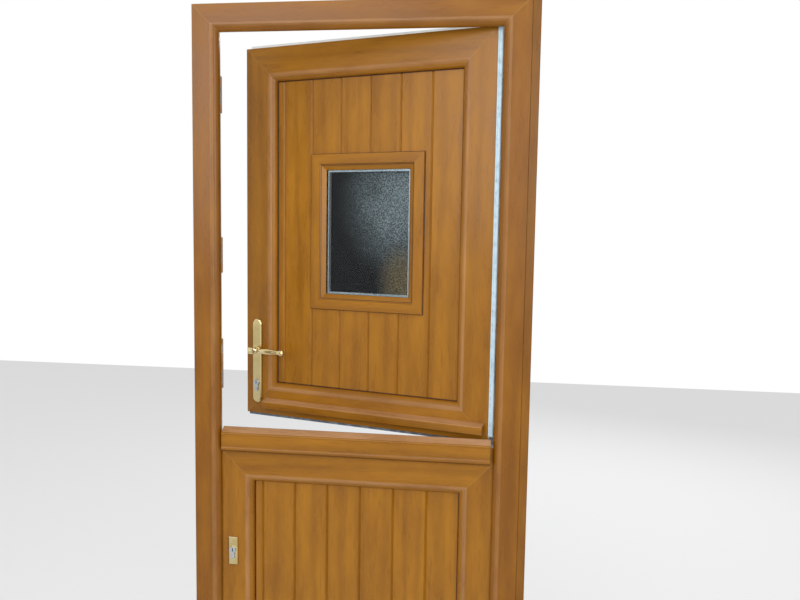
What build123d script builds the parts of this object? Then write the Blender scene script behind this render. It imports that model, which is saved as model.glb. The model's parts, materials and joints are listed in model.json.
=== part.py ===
from build123d import *
import os

os.makedirs("parts", exist_ok=True)

# A stable door for a cottage doorway: an outer frame, an upper leaf and a lower leaf that are hung one
# above the other, the hardware that locks them, and the meeting rail between them.
# Millimetres. X runs to the right for someone outside, Y runs into the house, Z is up.
# The origin is on the base, at the middle of the outer frame and flush with its outside face.

# Outer frame
frame_width = 820.0
frame_height = 2060.0
frame_depth = 70.0
frame_sight = 64.0
frame_lip = 18.0
rebate_step = 18.0
extension_width = 20.0
extension_edge = 1.2
fixing_radius = 4.0
fixing_from_lip = 7.0
fixing_from_foot = 180.0
fixing_from_head = 110.0
fixing_count = 4
threshold_height = 22.0
threshold_upstand = 18.0
threshold_nose = 6.0

# Moulded edge that runs round the frame and round both leaves
moulding_width = 18.5
moulding_depth = 14.0
moulding_step = 1.5
moulding_radius = 16.0

# Leaves
leaf_setback = 20.0
leaf_overlap = 6.0
leaf_flat = 69.0
flange_reach = 20.0
flange_thickness = 18.0
flange_gap = 2.0
glazing_lip = 18.0
glazing_rebate = 21.5
groove_width = 15.6
groove_depth = 3.0
groove_centre = 46.0
leaf_foot_gap = 12.0
lower_leaf_top = 957.0
leaf_joint = 48.0
rest_angle = 15.5

# Boarded panels
panel_thickness = 28.0
panel_clearance = 3.5
panel_gasket = 2.0
board_pitch = 85.2
board_groove_width = 7.0
board_groove_depth = 3.5
board_offset = 11.6
bead_height = 20.0
bead_top = 6.0

# Light in the upper panel
light_width = 323.0
light_height = 411.0
light_centre_x = 4.0
light_rise = 8.5
surround_ring = 26.0
surround_edge = 1.0
surround_proud = 8.0
surround_sight = 41.5
surround_spigot = 25.0
glass_edge_cover = 13.5
pane_thickness = 4.0
pane_gap = 12.0
spacer_show = 5.0
spacer_width = 11.0

# Meeting rail and weather bars
rail_height = 36.0
rail_drop = 7.0
rail_upstand = 21.0
rail_proud = 22.0
rail_slope = 13.0
rail_front = 33.0
rail_foot_inset = 12.0
rail_underside_radius = 25.0
rail_end_gap = 6.0
end_cap = 2.0
weather_bar_lock_inset = 60.0
weather_bar_hinge_inset = 10.0
weather_bar_proud = 22.0
weather_bar_height = 26.0
weather_bar_slope = 7.0
weather_bar_nose = 2.5
weather_bar_lip = 4.0
weather_bar_undercut = 4.0
upper_weather_bar_rise = 19.0
lower_weather_bar_rise = 12.0

# Seals
seal_thickness = 1.7
seal_width = 5.0
leaf_seal_inset = 3.0
leaf_seal_width = 10.0
leaf_seal_drop = 7.0
leaf_seal_edge = 2.0

# Hinges
hinge_line_inset = 30.0
hinge_height = 90.0
knuckle_radius = 8.0
hinge_pin_radius = 4.0
running_gap = 0.05
knuckle_gap = 0.3
hinge_plate = 5.0
hinge_web = 3.0
hinge_base_width = 31.0
hinge_arm_width = 42.0
hinge_arm_lap = 2.0
hinge_edge_margin = 4.0
hinge_inset = 186.0

# Lock furniture
backset = 36.0
spindle_rise = 180.0
cylinder_drop = 92.0
handle_plate_width = 28.0
handle_plate_height = 234.0
handle_plate_thickness = 9.0
handle_plate_rise = 85.0
handle_plate_bevel = 2.5
neck_radius = 9.0
neck_reach = 28.0
lever_length = 103.0
lever_thickness = 10.0
lever_height = 15.0
lever_bevel = 2.5
spindle_side = 8.0
spindle_socket = 24.0
spindle_clearance = 2.0
escutcheon_width = 24.0
escutcheon_height = 74.0
escutcheon_thickness = 7.0
escutcheon_bevel = 2.0
escutcheon_drop = 4.0
lower_cylinder_drop = 267.0
cylinder_radius = 8.5
cylinder_height = 33.0
cylinder_slot = 10.0
cylinder_proud = 3.0
plug_radius = 6.5
cam_radius = 15.0
cam_width = 9.4
cam_thickness = 8.0
keyway_width = 2.4
keyway_height = 9.0
keyway_depth = 12.0
turn_length = 18.0
turn_height = 24.0
turn_width = 9.0

# Locks
case_depth = 50.5
case_width = 15.0
case_wall = 1.5
upper_case_drop = 140.0
upper_case_rise = 50.0
lower_case_drop = 40.0
lower_case_rise = 60.0
follower_radius = 9.0
latch_height = 20.0
latch_width = 11.6
latch_reach = 11.0
latch_length = 29.0
latch_nose = 2.0
latch_rise = 23.0
dead_bolt_width = 10.0
dead_bolt_throw = 20.0
dead_bolt_length = 29.0
dead_bolt_bevel = 1.0
upper_bolt_drop = 50.0
upper_bolt_height = 30.0
lower_bolt_rise = 37.0
lower_bolt_height = 24.0
upper_faceplate_drop = 155.0
upper_faceplate_from_top = 72.0
lower_faceplate_drop = 58.0
lower_faceplate_rise = 78.0
lower_hook_rise = 445.0
upper_hook_drop = 149.0
hook_case_height = 84.0
hook_case_depth = 34.0
hook_length = 36.0
hook_width = 14.0
hook_beak = 8.0
hook_thickness = 7.0
hook_pin_radius = 3.0
hook_pivot_depth = 19.0
hook_pivot_rise = 13.0
keep_thickness = 8.0
keep_width = 28.0
keep_margin = 16.0
keep_bevel = 1.5
hook_keep_height = 92.0

# Bolt that ties the leaves together on the inside
stable_bolt_inset = 172.0
stable_bolt_radius = 5.0
stable_bolt_standoff = 9.0
stable_bolt_length = 98.0
stable_bolt_lead = 6.0
stable_bolt_wall = 3.0
stable_guide_drop = 9.0
stable_guide_height = 52.0
stable_guide_width = 30.0
stable_guide_plate = 2.5
stable_barrel_height = 44.0
stable_keep_rise = 18.0
stable_keep_height = 30.0
lug_width = 7.0
lug_reach = 22.0
lug_rise = 84.0

# Clearances
part_gap = 0.3
slide_gap = 0.5
keep_gap = 2.0
pocket_gap = 3.0
overrun = 1.0

# Planes and edges that the pieces share
half_frame = frame_width / 2
half_opening = half_frame - frame_sight
half_rebate = half_opening + rebate_step
half_leaf = half_opening + leaf_overlap
lower_leaf_bottom = threshold_height + leaf_foot_gap
upper_leaf_bottom = lower_leaf_top + leaf_joint
upper_leaf_top = frame_height - frame_sight + leaf_overlap
leaf_front = leaf_setback
flange_front = frame_depth + flange_gap
leaf_back = flange_front + flange_thickness
leaf_depth = leaf_back - leaf_front
leaf_middle = (leaf_front + leaf_back) / 2
leaf_sight = leaf_flat + moulding_width
rebate_bottom = leaf_sight - glazing_rebate
lip_back = leaf_front + glazing_lip
panel_front = lip_back + panel_gasket
panel_back = panel_front + panel_thickness
panel_edge = rebate_bottom + panel_clearance
lock_x = backset - half_leaf
spindle_level = upper_leaf_bottom + spindle_rise
latch_level = spindle_level + latch_rise
upper_bolt_level = spindle_level - upper_bolt_drop
upper_cylinder_level = spindle_level - cylinder_drop
lower_cylinder_level = lower_leaf_top - lower_cylinder_drop
lower_bolt_level = lower_cylinder_level + lower_bolt_rise
upper_case_bottom = spindle_level - upper_case_drop
upper_case_top = spindle_level + upper_case_rise
lower_case_bottom = lower_cylinder_level - lower_case_drop
lower_case_top = lower_cylinder_level + lower_case_rise
hook_levels = {
    "hook_lower": upper_leaf_bottom + lower_hook_rise,
    "hook_upper": upper_leaf_top - upper_hook_drop,
}
keep_face = keep_thickness - half_rebate
meeting_level = lower_leaf_top + rail_height
hinge_line_x = half_frame - hinge_line_inset
hinge_line_y = leaf_back + knuckle_radius
hinge_line = Axis((hinge_line_x, hinge_line_y, 0), (0, 0, 1))


def write_piece(piece, label, leaf_angle=0.0):
    """Turn a piece about the hinge line by the angle of its leaf, label it and write it."""
    placed = piece.rotate(hinge_line, -leaf_angle) if leaf_angle else piece
    placed.label = label
    export_step(placed, f"parts/{label}.step")


def leaf_ring(bottom, top, half_width, centre_x=0.0):
    """Closed path round a leaf or a light, with its start on the bottom edge."""
    left = centre_x - half_width
    right = centre_x + half_width
    with BuildLine() as path:
        Polyline(
            (centre_x, 0, bottom), (left, 0, bottom), (left, 0, top),
            (right, 0, top), (right, 0, bottom), (centre_x, 0, bottom),
        )
    return path.line


def ring_plane(bottom, centre_x=0.0):
    """Section plane at the start of a ring: its x runs inwards from the edge, its y runs into the house."""
    return Plane(origin=(centre_x, 0, bottom), x_dir=(0, 0, 1), z_dir=(-1, 0, 0))


def moulded_edge(sight, front):
    """Moulding from a flat face to its inner edge: a small step, then a quarter round."""
    start = (sight - moulding_width, front)
    crest = (start[0] + moulding_step, front + 2 * moulding_step)
    Line(start, crest)
    RadiusArc((sight, front + moulding_depth), crest, moulding_radius)


def euro_outline(margin=0.0):
    """Outline of the lock cylinder with its round part at the origin, on the current sketch."""
    foot = cylinder_height - cylinder_radius
    half_slot = cylinder_slot / 2 + margin
    Circle(cylinder_radius + margin)
    with Locations((0, -(foot - cylinder_slot / 2) / 2)):
        Rectangle(2 * half_slot, foot - cylinder_slot / 2)
    with Locations((0, -(foot - cylinder_slot / 2))):
        Circle(half_slot)


def depth_plane(x, y, z):
    """Sketch plane square to the leaf: x to the right, y up, and extrusions run out of the house."""
    return Plane(origin=(x, y, z), x_dir=(1, 0, 0), z_dir=(0, -1, 0))


def block(x0, x1, y0, y1, z0, z1, mode=Mode.ADD):
    """Rectangular block between two corners, added to the current part or cut from it."""
    with Locations(((x0 + x1) / 2, (y0 + y1) / 2, (z0 + z1) / 2)):
        Box(x1 - x0, y1 - y0, z1 - z0, mode=mode)


# Outer frame: one profile welded with mitred corners round the jambs and the head
jamb_back_sight = frame_sight - rebate_step
fixing_y = frame_lip + fixing_from_lip
fixing_pitch = (frame_height - fixing_from_foot - fixing_from_head) / (fixing_count - 1)
fixing_levels = [fixing_from_foot + number * fixing_pitch for number in range(fixing_count)]
with BuildPart() as outer_frame:
    with BuildLine() as frame_path:
        Polyline(
            (-half_frame, 0, 0), (-half_frame, 0, frame_height),
            (half_frame, 0, frame_height), (half_frame, 0, 0),
        )
    with BuildSketch(Plane(origin=(-half_frame, 0, 0), x_dir=(1, 0, 0), z_dir=(0, 0, 1))):
        with BuildLine():
            Line((0, 0), (frame_sight - moulding_width, 0))
            moulded_edge(frame_sight, 0)
            Polyline(
                (frame_sight, moulding_depth), (frame_sight, frame_lip), (jamb_back_sight, frame_lip),
                (jamb_back_sight, frame_depth), (0, frame_depth), (0, 0),
            )
        make_face()
    sweep(path=frame_path.line, transition=Transition.RIGHT)
    # Holes for the frame fixings, one above the other in each jamb
    for fixing_level in fixing_levels:
        with Locations(Location((0, fixing_y, fixing_level), (0, 90, 0))):
            Cylinder(fixing_radius, frame_width + overrun, mode=Mode.SUBTRACT)
    # Pockets behind the keeps for the dead bolts and the hooks
    pocket_end = half_leaf + dead_bolt_throw + pocket_gap
    bolt_half = dead_bolt_width / 2 + 2 * slide_gap
    for level, height in ((upper_bolt_level, upper_bolt_height), (lower_bolt_level, lower_bolt_height)):
        block(
            -pocket_end, -half_rebate, groove_centre - bolt_half, groove_centre + bolt_half,
            level - height / 2 - 2 * slide_gap, level + height / 2 + 2 * slide_gap, mode=Mode.SUBTRACT,
        )
    hook_half = hook_thickness / 2 + 2 * slide_gap
    for level in hook_levels.values():
        pivot = level + hook_pivot_rise
        block(
            -pocket_end, -half_rebate, groove_centre - hook_half, groove_centre + hook_half,
            pivot - hook_length, pivot + hook_width / 2 + hook_beak + pocket_gap, mode=Mode.SUBTRACT,
        )
write_piece(outer_frame.part, "outer_frame")

# Extension profile clipped to the hinge jamb, bored for the same fixings
with BuildPart() as frame_extension:
    with BuildSketch():
        with Locations((half_frame + extension_width / 2, frame_depth / 2)):
            Rectangle(extension_width, frame_depth)
    extrude(amount=frame_height)
    chamfer(frame_extension.edges().filter_by(Axis.Z), extension_edge)
    for fixing_level in fixing_levels:
        with Locations(Location((half_frame, fixing_y, fixing_level), (0, 90, 0))):
            Cylinder(fixing_radius, 2 * (extension_width + overrun), mode=Mode.SUBTRACT)
write_piece(frame_extension.part, "frame_extension")

# Threshold: a low sill between the jambs, scribed round their lips
with BuildPart() as threshold:
    with BuildSketch(Plane(origin=(-half_rebate, 0, 0), x_dir=(0, 1, 0), z_dir=(1, 0, 0))):
        with BuildLine():
            Polyline(
                (-threshold_nose, 0), (frame_depth, 0), (frame_depth, threshold_height),
                (frame_lip, threshold_height), (frame_lip, threshold_height + threshold_upstand),
                (frame_lip - threshold_nose, threshold_height + threshold_upstand),
                (-threshold_nose, threshold_height / 2), (-threshold_nose, 0),
            )
        make_face()
    extrude(amount=2 * half_rebate)
    for start in (-half_rebate, half_opening):
        block(
            start, start + rebate_step, -threshold_nose - overrun, frame_lip,
            -overrun, threshold_height + threshold_upstand + overrun, mode=Mode.SUBTRACT,
        )
write_piece(threshold.part, "threshold")

# Bubble gasket on the back of the frame lip, where the leaves close
seal_inner = frame_sight - part_gap
with BuildPart() as frame_gasket:
    gasket_foot = threshold_height + part_gap
    with BuildLine() as gasket_path:
        Polyline(
            (-half_frame, 0, gasket_foot), (-half_frame, 0, frame_height),
            (half_frame, 0, frame_height), (half_frame, 0, gasket_foot),
        )
    with BuildSketch(Plane(origin=(-half_frame, 0, gasket_foot), x_dir=(1, 0, 0), z_dir=(0, 0, 1))):
        with Locations((seal_inner - seal_width / 2, frame_lip + seal_thickness / 2)):
            Rectangle(seal_width, seal_thickness)
    sweep(path=gasket_path.line, transition=Transition.RIGHT)
write_piece(frame_gasket.part, "frame_gasket")


def build_sash(bottom, top):
    """Welded sash of one leaf: moulded face, glazing rebate, lock groove and inside flange."""
    with BuildPart() as sash:
        with BuildSketch(ring_plane(bottom)):
            with BuildLine():
                Line((0, leaf_front), (leaf_flat, leaf_front))
                moulded_edge(leaf_sight, leaf_front)
                Polyline(
                    (leaf_sight, leaf_front + moulding_depth), (leaf_sight, lip_back),
                    (rebate_bottom, lip_back), (rebate_bottom, leaf_back), (-flange_reach, leaf_back),
                    (-flange_reach, flange_front), (0, flange_front),
                    (0, groove_centre + groove_width / 2),
                    (groove_depth, groove_centre + groove_width / 2),
                    (groove_depth, groove_centre - groove_width / 2),
                    (0, groove_centre - groove_width / 2), (0, leaf_front),
                )
            make_face()
        sweep(path=leaf_ring(bottom, top, half_leaf), transition=Transition.RIGHT)
    return sash.part


def lock_pocket(bottom, top, depth):
    """Cut the pocket for a lock case, from the groove in the lock stile inwards."""
    block(
        -half_leaf - overrun, groove_depth + depth + part_gap - half_leaf,
        groove_centre - groove_width / 2, groove_centre + groove_width / 2,
        bottom - part_gap, top + part_gap, mode=Mode.SUBTRACT,
    )


def cylinder_opening(level):
    """Cut the routed opening for a lock cylinder, hidden behind its escutcheon, through a leaf or a case."""
    half_width = cylinder_radius + slide_gap
    block(
        lock_x - half_width, lock_x + half_width, leaf_front, leaf_back,
        level - cylinder_height + cylinder_radius - slide_gap, level + half_width, mode=Mode.SUBTRACT,
    )


def spindle_opening():
    """Cut the opening for the lever spindle, hidden behind its plates, through the leaf or the case."""
    half_width = follower_radius + slide_gap
    block(
        lock_x - half_width, lock_x + half_width, leaf_front, leaf_back,
        spindle_level - half_width, spindle_level + half_width, mode=Mode.SUBTRACT,
    )


def cylinder_hole(level):
    """Close hole for a lock cylinder through the furniture on both faces of a leaf."""
    with BuildPart() as hole:
        with BuildSketch(depth_plane(lock_x, leaf_back, level)):
            euro_outline(part_gap)
        extrude(amount=2 * leaf_depth)
    return hole.part


# Sash of the lower leaf, mortised for its lock
with BuildPart() as lower_sash:
    add(build_sash(lower_leaf_bottom, lower_leaf_top))
    lock_pocket(lower_case_bottom, lower_case_top, case_depth)
    cylinder_opening(lower_cylinder_level)
write_piece(lower_sash.part, "lower_sash")

# Sash of the upper leaf, mortised for the main lock and the two hook boxes
with BuildPart() as upper_sash:
    add(build_sash(upper_leaf_bottom, upper_leaf_top))
    lock_pocket(upper_case_bottom, upper_case_top, case_depth)
    for level in hook_levels.values():
        hook_bottom = level - hook_case_height / 2
        lock_pocket(hook_bottom, hook_bottom + hook_case_height, hook_case_depth)
    cylinder_opening(upper_cylinder_level)
    spindle_opening()
write_piece(upper_sash.part, "upper_sash", rest_angle)


def build_panel(bottom, top):
    """Flush panel with the vee grooves of upright boards on both faces."""
    half_panel = half_leaf - panel_edge
    half_count = int(half_panel / board_pitch) + 1
    boards = [board_offset + number * board_pitch for number in range(-half_count, half_count + 1)]
    grooves = [
        (groove, face)
        for groove in boards
        for face in (panel_front, panel_back)
        if abs(groove) < half_panel - board_groove_width
    ]
    with BuildPart() as panel:
        with BuildSketch(Plane.XY.offset(bottom + panel_edge)):
            with Locations((0, (panel_front + panel_back) / 2)):
                Rectangle(2 * half_panel, panel_thickness)
            with Locations(*grooves):
                Polygon(
                    (-board_groove_width / 2, 0), (0, board_groove_depth), (board_groove_width / 2, 0),
                    (0, -board_groove_depth), align=None, mode=Mode.SUBTRACT,
                )
        extrude(amount=top - bottom - 2 * panel_edge)
    return panel.part


def build_panel_gasket(bottom, top):
    """Flat gasket between a panel and the lip of its sash."""
    with BuildPart() as gasket:
        with BuildSketch(ring_plane(bottom)):
            with Locations((leaf_sight - seal_width / 2 - part_gap, lip_back + panel_gasket / 2)):
                Rectangle(seal_width, panel_gasket)
        sweep(path=leaf_ring(bottom, top, half_leaf), transition=Transition.RIGHT)
    return gasket.part


def build_panel_bead(bottom, top):
    """Mitred bead that holds a panel in its rebate from the inside."""
    with BuildPart() as bead:
        with BuildSketch(ring_plane(bottom)):
            with BuildLine():
                Polyline(
                    (rebate_bottom, panel_back), (leaf_sight, panel_back),
                    (leaf_sight, panel_back + bead_top), (rebate_bottom + bead_top, panel_back + bead_height),
                    (rebate_bottom, panel_back + bead_height), (rebate_bottom, panel_back),
                )
            make_face()
        sweep(path=leaf_ring(bottom, top, half_leaf), transition=Transition.RIGHT)
    return bead.part


lower_panel = build_panel(lower_leaf_bottom, lower_leaf_top)
write_piece(lower_panel, "lower_panel")
lower_panel_gasket = build_panel_gasket(lower_leaf_bottom, lower_leaf_top)
write_piece(lower_panel_gasket, "lower_panel_gasket")
lower_panel_bead = build_panel_bead(lower_leaf_bottom, lower_leaf_top)
write_piece(lower_panel_bead, "lower_panel_bead")

# Panel of the upper leaf, cut out for the light
light_centre_z = (upper_leaf_bottom + upper_leaf_top) / 2 + light_rise
light_bottom = light_centre_z - light_height / 2
light_top = light_centre_z + light_height / 2
with BuildPart() as upper_panel:
    add(build_panel(upper_leaf_bottom, upper_leaf_top))
    with Locations((light_centre_x, panel_front + panel_thickness / 2, light_centre_z)):
        Box(
            light_width - 2 * (surround_spigot - slide_gap), panel_thickness + overrun,
            light_height - 2 * (surround_spigot - slide_gap), mode=Mode.SUBTRACT,
        )
write_piece(upper_panel.part, "upper_panel", rest_angle)
upper_panel_gasket = build_panel_gasket(upper_leaf_bottom, upper_leaf_top)
write_piece(upper_panel_gasket, "upper_panel_gasket", rest_angle)
upper_panel_bead = build_panel_bead(upper_leaf_bottom, upper_leaf_top)
write_piece(upper_panel_bead, "upper_panel_bead", rest_angle)

# Light: a raised surround on each face of the panel, with a sealed pair of panes clamped between them
light_path = leaf_ring(light_bottom, light_top, light_width / 2, light_centre_x)
panel_middle = (panel_front + panel_back) / 2
unit_half = (2 * pane_thickness + pane_gap) / 2
unit_front = panel_middle - unit_half
surround_front = panel_front - surround_proud
with BuildPart() as light_surround:
    with BuildSketch(ring_plane(light_bottom, light_centre_x)):
        with BuildLine():
            Polyline(
                (0, panel_front), (0, surround_front + moulding_step), (moulding_step, surround_front),
                (surround_ring, surround_front),
                (surround_ring + surround_edge, surround_front + moulding_step),
                (surround_sight, unit_front - surround_edge), (surround_sight, unit_front),
                (surround_spigot, unit_front), (surround_spigot, panel_front), (0, panel_front),
            )
        make_face()
    sweep(path=light_path, transition=Transition.RIGHT)
write_piece(light_surround.part, "light_surround_outside", rest_angle)
light_surround_inside = light_surround.part.mirror(Plane.XZ.offset(-panel_middle))
write_piece(light_surround_inside, "light_surround_inside", rest_angle)

pane_inset = surround_sight - glass_edge_cover
pane_fronts = {"outer_pane": unit_front, "inner_pane": panel_middle + unit_half - pane_thickness}
for pane_name, pane_front in pane_fronts.items():
    with BuildPart() as pane:
        with Locations((light_centre_x, pane_front + pane_thickness / 2, light_centre_z)):
            Box(light_width - 2 * pane_inset, pane_thickness, light_height - 2 * pane_inset)
    write_piece(pane.part, pane_name, rest_angle)

with BuildPart() as spacer_bar:
    with BuildSketch(ring_plane(light_bottom, light_centre_x)):
        with Locations((surround_sight + spacer_show - spacer_width / 2, panel_middle)):
            Rectangle(spacer_width, pane_gap)
    sweep(path=light_path, transition=Transition.RIGHT)
write_piece(spacer_bar.part, "spacer_bar", rest_angle)

# Meeting rail: screwed on top of the lower sash, with a moulded upstand that covers the joint outside
rail_face = leaf_front - rail_proud
rail_bottom = lower_leaf_top - rail_drop
rail_top = meeting_level + rail_upstand
rail_arris = rail_top - rail_slope
rail_nose = rail_arris - rail_front
half_rail = half_opening - rail_end_gap - end_cap


def rail_bar_outline():
    """Edges of the bar outside: sloping top, upright front and a rounded underside."""
    foot = (rail_face + rail_foot_inset, rail_bottom)
    nose = (rail_face, rail_nose)
    Polyline(
        foot, (leaf_front, rail_bottom), (leaf_front, meeting_level), (frame_lip, meeting_level),
        (frame_lip, rail_top), (rail_face + moulding_step, rail_arris + moulding_step),
        (rail_face, rail_arris), nose,
    )
    RadiusArc(foot, nose, rail_underside_radius)


with BuildPart() as meeting_rail:
    with BuildSketch(Plane(origin=(-half_rail, 0, 0), x_dir=(0, 1, 0), z_dir=(1, 0, 0))):
        with BuildLine():
            rail_bar_outline()
        make_face()
    extrude(amount=2 * half_rail)
    block(-half_leaf, half_leaf, leaf_front, flange_front, lower_leaf_top, meeting_level)
write_piece(meeting_rail.part, "meeting_rail")

with BuildPart() as meeting_rail_end_caps:
    for start in (-half_rail - end_cap, half_rail):
        with BuildSketch(Plane(origin=(start, 0, 0), x_dir=(0, 1, 0), z_dir=(1, 0, 0))):
            with BuildLine():
                rail_bar_outline()
            make_face()
        extrude(amount=end_cap)
write_piece(meeting_rail_end_caps.part, "meeting_rail_end_caps")

with BuildPart() as meeting_seal:
    block(
        -half_rail, half_rail, frame_lip, frame_lip + seal_thickness,
        rail_top - moulding_step - seal_width, rail_top - moulding_step,
    )
write_piece(meeting_seal.part, "meeting_seal")

# Seal that hangs from the underside of the upper leaf and closes on the meeting rail
with BuildPart() as upper_leaf_seal:
    block(
        seal_width - half_leaf, half_leaf - seal_width,
        leaf_front + leaf_seal_inset, leaf_front + leaf_seal_inset + leaf_seal_width,
        upper_leaf_bottom - leaf_seal_drop, upper_leaf_bottom,
    )
    chamfer(upper_leaf_seal.edges().filter_by(Axis.X).group_by(Axis.Z)[0], leaf_seal_edge)
write_piece(upper_leaf_seal.part, "upper_leaf_seal", rest_angle)


def build_weather_bar(bottom):
    """Drip bar across the foot of a leaf: sloping top, rounded nose and an undercut."""
    face = leaf_front - weather_bar_proud
    top = bottom + weather_bar_height
    left = weather_bar_lock_inset - half_leaf
    with BuildPart() as bar:
        with BuildSketch(Plane(origin=(left, 0, 0), x_dir=(0, 1, 0), z_dir=(1, 0, 0))):
            with BuildLine():
                Polyline(
                    (leaf_front, bottom + weather_bar_undercut), (leaf_front, top),
                    (face, top - weather_bar_slope), (face, bottom), (face + weather_bar_lip, bottom),
                    (face + weather_bar_lip, bottom + weather_bar_undercut),
                    (leaf_front, bottom + weather_bar_undercut),
                )
            make_face()
        extrude(amount=half_leaf - weather_bar_hinge_inset - left)
        nose = bar.edges().filter_by(Axis.X).group_by(Axis.Y)[0].sort_by(Axis.Z)[-1]
        fillet(nose, weather_bar_nose)
    return bar.part


lower_weather_bar = build_weather_bar(lower_leaf_bottom + lower_weather_bar_rise)
write_piece(lower_weather_bar, "lower_weather_bar")
upper_weather_bar = build_weather_bar(upper_leaf_bottom + upper_weather_bar_rise)
write_piece(upper_weather_bar, "upper_weather_bar", rest_angle)

# Lift-off hinges: the jamb carries the lower knuckle and its pin, the knuckle of the leaf drops over it
half_hinge = hinge_height / 2
knuckle_height = half_hinge - knuckle_gap / 2
lower_hinges = (lower_leaf_bottom + hinge_inset, lower_leaf_top - hinge_inset)
upper_hinges = (upper_leaf_bottom + hinge_inset, upper_leaf_top - hinge_inset)
base_right = half_frame - hinge_edge_margin
arm_right = half_rebate + hinge_arm_lap
arm_left = arm_right - hinge_arm_width

with BuildPart() as hinge_bases:
    for level in lower_hinges + upper_hinges:
        foot = level - half_hinge
        # Plate on the inside face of the jamb, and a web out to the knuckle
        block(
            base_right - hinge_base_width, base_right, frame_depth, frame_depth + hinge_plate,
            foot, foot + hinge_height,
        )
        block(
            hinge_line_x - hinge_web, hinge_line_x + knuckle_radius, frame_depth + hinge_plate, hinge_line_y,
            foot, foot + knuckle_height,
        )
        with Locations((hinge_line_x, hinge_line_y, foot)):
            Cylinder(knuckle_radius, knuckle_height, align=(Align.CENTER, Align.CENTER, Align.MIN))
            Cylinder(hinge_pin_radius, hinge_height, align=(Align.CENTER, Align.CENTER, Align.MIN))
write_piece(hinge_bases.part, "hinge_bases")


def build_hinge_arms(levels):
    """Plates on the inside of one leaf, each with a short web to its bored knuckle."""
    with BuildPart() as arms:
        for level in levels:
            foot = level - half_hinge
            block(arm_left, arm_right, leaf_back, leaf_back + hinge_plate, foot, foot + hinge_height)
            top = foot + hinge_height
            block(
                arm_right, hinge_line_x, leaf_back, leaf_back + hinge_plate,
                top - knuckle_height, top,
            )
            with Locations((hinge_line_x, hinge_line_y, top - knuckle_height / 2)):
                Cylinder(knuckle_radius, knuckle_height)
                Cylinder(hinge_pin_radius + running_gap, knuckle_height, mode=Mode.SUBTRACT)
    return arms.part


write_piece(build_hinge_arms(lower_hinges), "lower_hinge_arms")
write_piece(build_hinge_arms(upper_hinges), "upper_hinge_arms", rest_angle)


def build_lock_case(bottom, top, level):
    """Pressed lock case: thin walls, open slots for the bolts and a hole for the cylinder."""
    front = groove_depth - half_leaf
    back = front + case_depth
    half_case = case_width / 2
    with BuildPart() as case:
        block(front, back, groove_centre - half_case, groove_centre + half_case, bottom, top)
        block(
            front - overrun, back - case_wall, groove_centre - half_case + case_wall,
            groove_centre + half_case - case_wall, bottom + case_wall, top - case_wall,
            mode=Mode.SUBTRACT,
        )
        cylinder_opening(level)
        if top > spindle_level:
            spindle_opening()
    return case.part


write_piece(build_lock_case(lower_case_bottom, lower_case_top, lower_cylinder_level), "lower_lock_case")
write_piece(
    build_lock_case(upper_case_bottom, upper_case_top, upper_cylinder_level), "upper_lock_case", rest_angle
)


def bolt_slot(level, height, width, gap):
    """Cut the slot through a faceplate or a keep for one bolt, with a gap all round it."""
    half_width = width / 2 + gap
    block(
        -half_frame, -half_leaf + 2 * groove_depth, groove_centre - half_width, groove_centre + half_width,
        level - height / 2 - gap, level + height / 2 + gap, mode=Mode.SUBTRACT,
    )


def hook_slot(level):
    """Cut the slot through a faceplate or a keep that a hook swings up through."""
    pivot = level + hook_pivot_rise
    half_width = hook_thickness / 2 + 2 * slide_gap
    block(
        -half_frame, -half_leaf + 2 * groove_depth, groove_centre - half_width, groove_centre + half_width,
        pivot - hook_length - 2 * slide_gap, pivot + hook_width / 2 + 2 * slide_gap, mode=Mode.SUBTRACT,
    )


def faceplate_strip(bottom, top):
    """Steel strip that lies in the groove of the lock stile."""
    half_strip = (groove_width - part_gap) / 2
    block(
        -half_leaf, groove_depth - half_leaf, groove_centre - half_strip, groove_centre + half_strip,
        bottom, top,
    )


with BuildPart() as lower_faceplate:
    faceplate_strip(lower_cylinder_level - lower_faceplate_drop, lower_cylinder_level + lower_faceplate_rise)
    bolt_slot(lower_bolt_level, lower_bolt_height, dead_bolt_width, slide_gap)
write_piece(lower_faceplate.part, "lower_lock_faceplate")

with BuildPart() as upper_faceplate:
    faceplate_strip(spindle_level - upper_faceplate_drop, upper_leaf_top - upper_faceplate_from_top)
    bolt_slot(upper_bolt_level, upper_bolt_height, dead_bolt_width, slide_gap)
    bolt_slot(latch_level, latch_height, latch_width, slide_gap)
    for level in hook_levels.values():
        hook_slot(level)
write_piece(upper_faceplate.part, "upper_lock_faceplate", rest_angle)


def build_dead_bolt(level, height):
    """Square bolt that lies flush with its faceplate when it is drawn back."""
    front = part_gap - half_leaf
    half_bolt = dead_bolt_width / 2
    with BuildPart() as bolt:
        block(
            front, front + dead_bolt_length, groove_centre - half_bolt, groove_centre + half_bolt,
            level - height / 2, level + height / 2,
        )
        chamfer(bolt.faces().sort_by(Axis.X)[0].edges(), dead_bolt_bevel)
    return bolt.part


write_piece(build_dead_bolt(lower_bolt_level, lower_bolt_height), "lower_dead_bolt")
write_piece(build_dead_bolt(upper_bolt_level, upper_bolt_height), "upper_dead_bolt", rest_angle)

# Sprung latch, with its bevel on the side that meets the keep as the leaf closes
with BuildPart() as latch_bolt:
    latch_tip = -half_leaf - latch_reach
    half_latch = latch_width / 2
    with BuildSketch(Plane.XY.offset(latch_level - latch_height / 2)):
        with BuildLine():
            Polyline(
                (latch_tip, groove_centre + half_latch),
                (latch_tip, groove_centre + half_latch - latch_nose),
                (latch_tip + latch_reach - overrun, groove_centre - half_latch),
                (latch_tip + latch_length, groove_centre - half_latch),
                (latch_tip + latch_length, groove_centre + half_latch),
                (latch_tip, groove_centre + half_latch),
            )
        make_face()
    extrude(amount=latch_height)
write_piece(latch_bolt.part, "latch_bolt", rest_angle)

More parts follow.
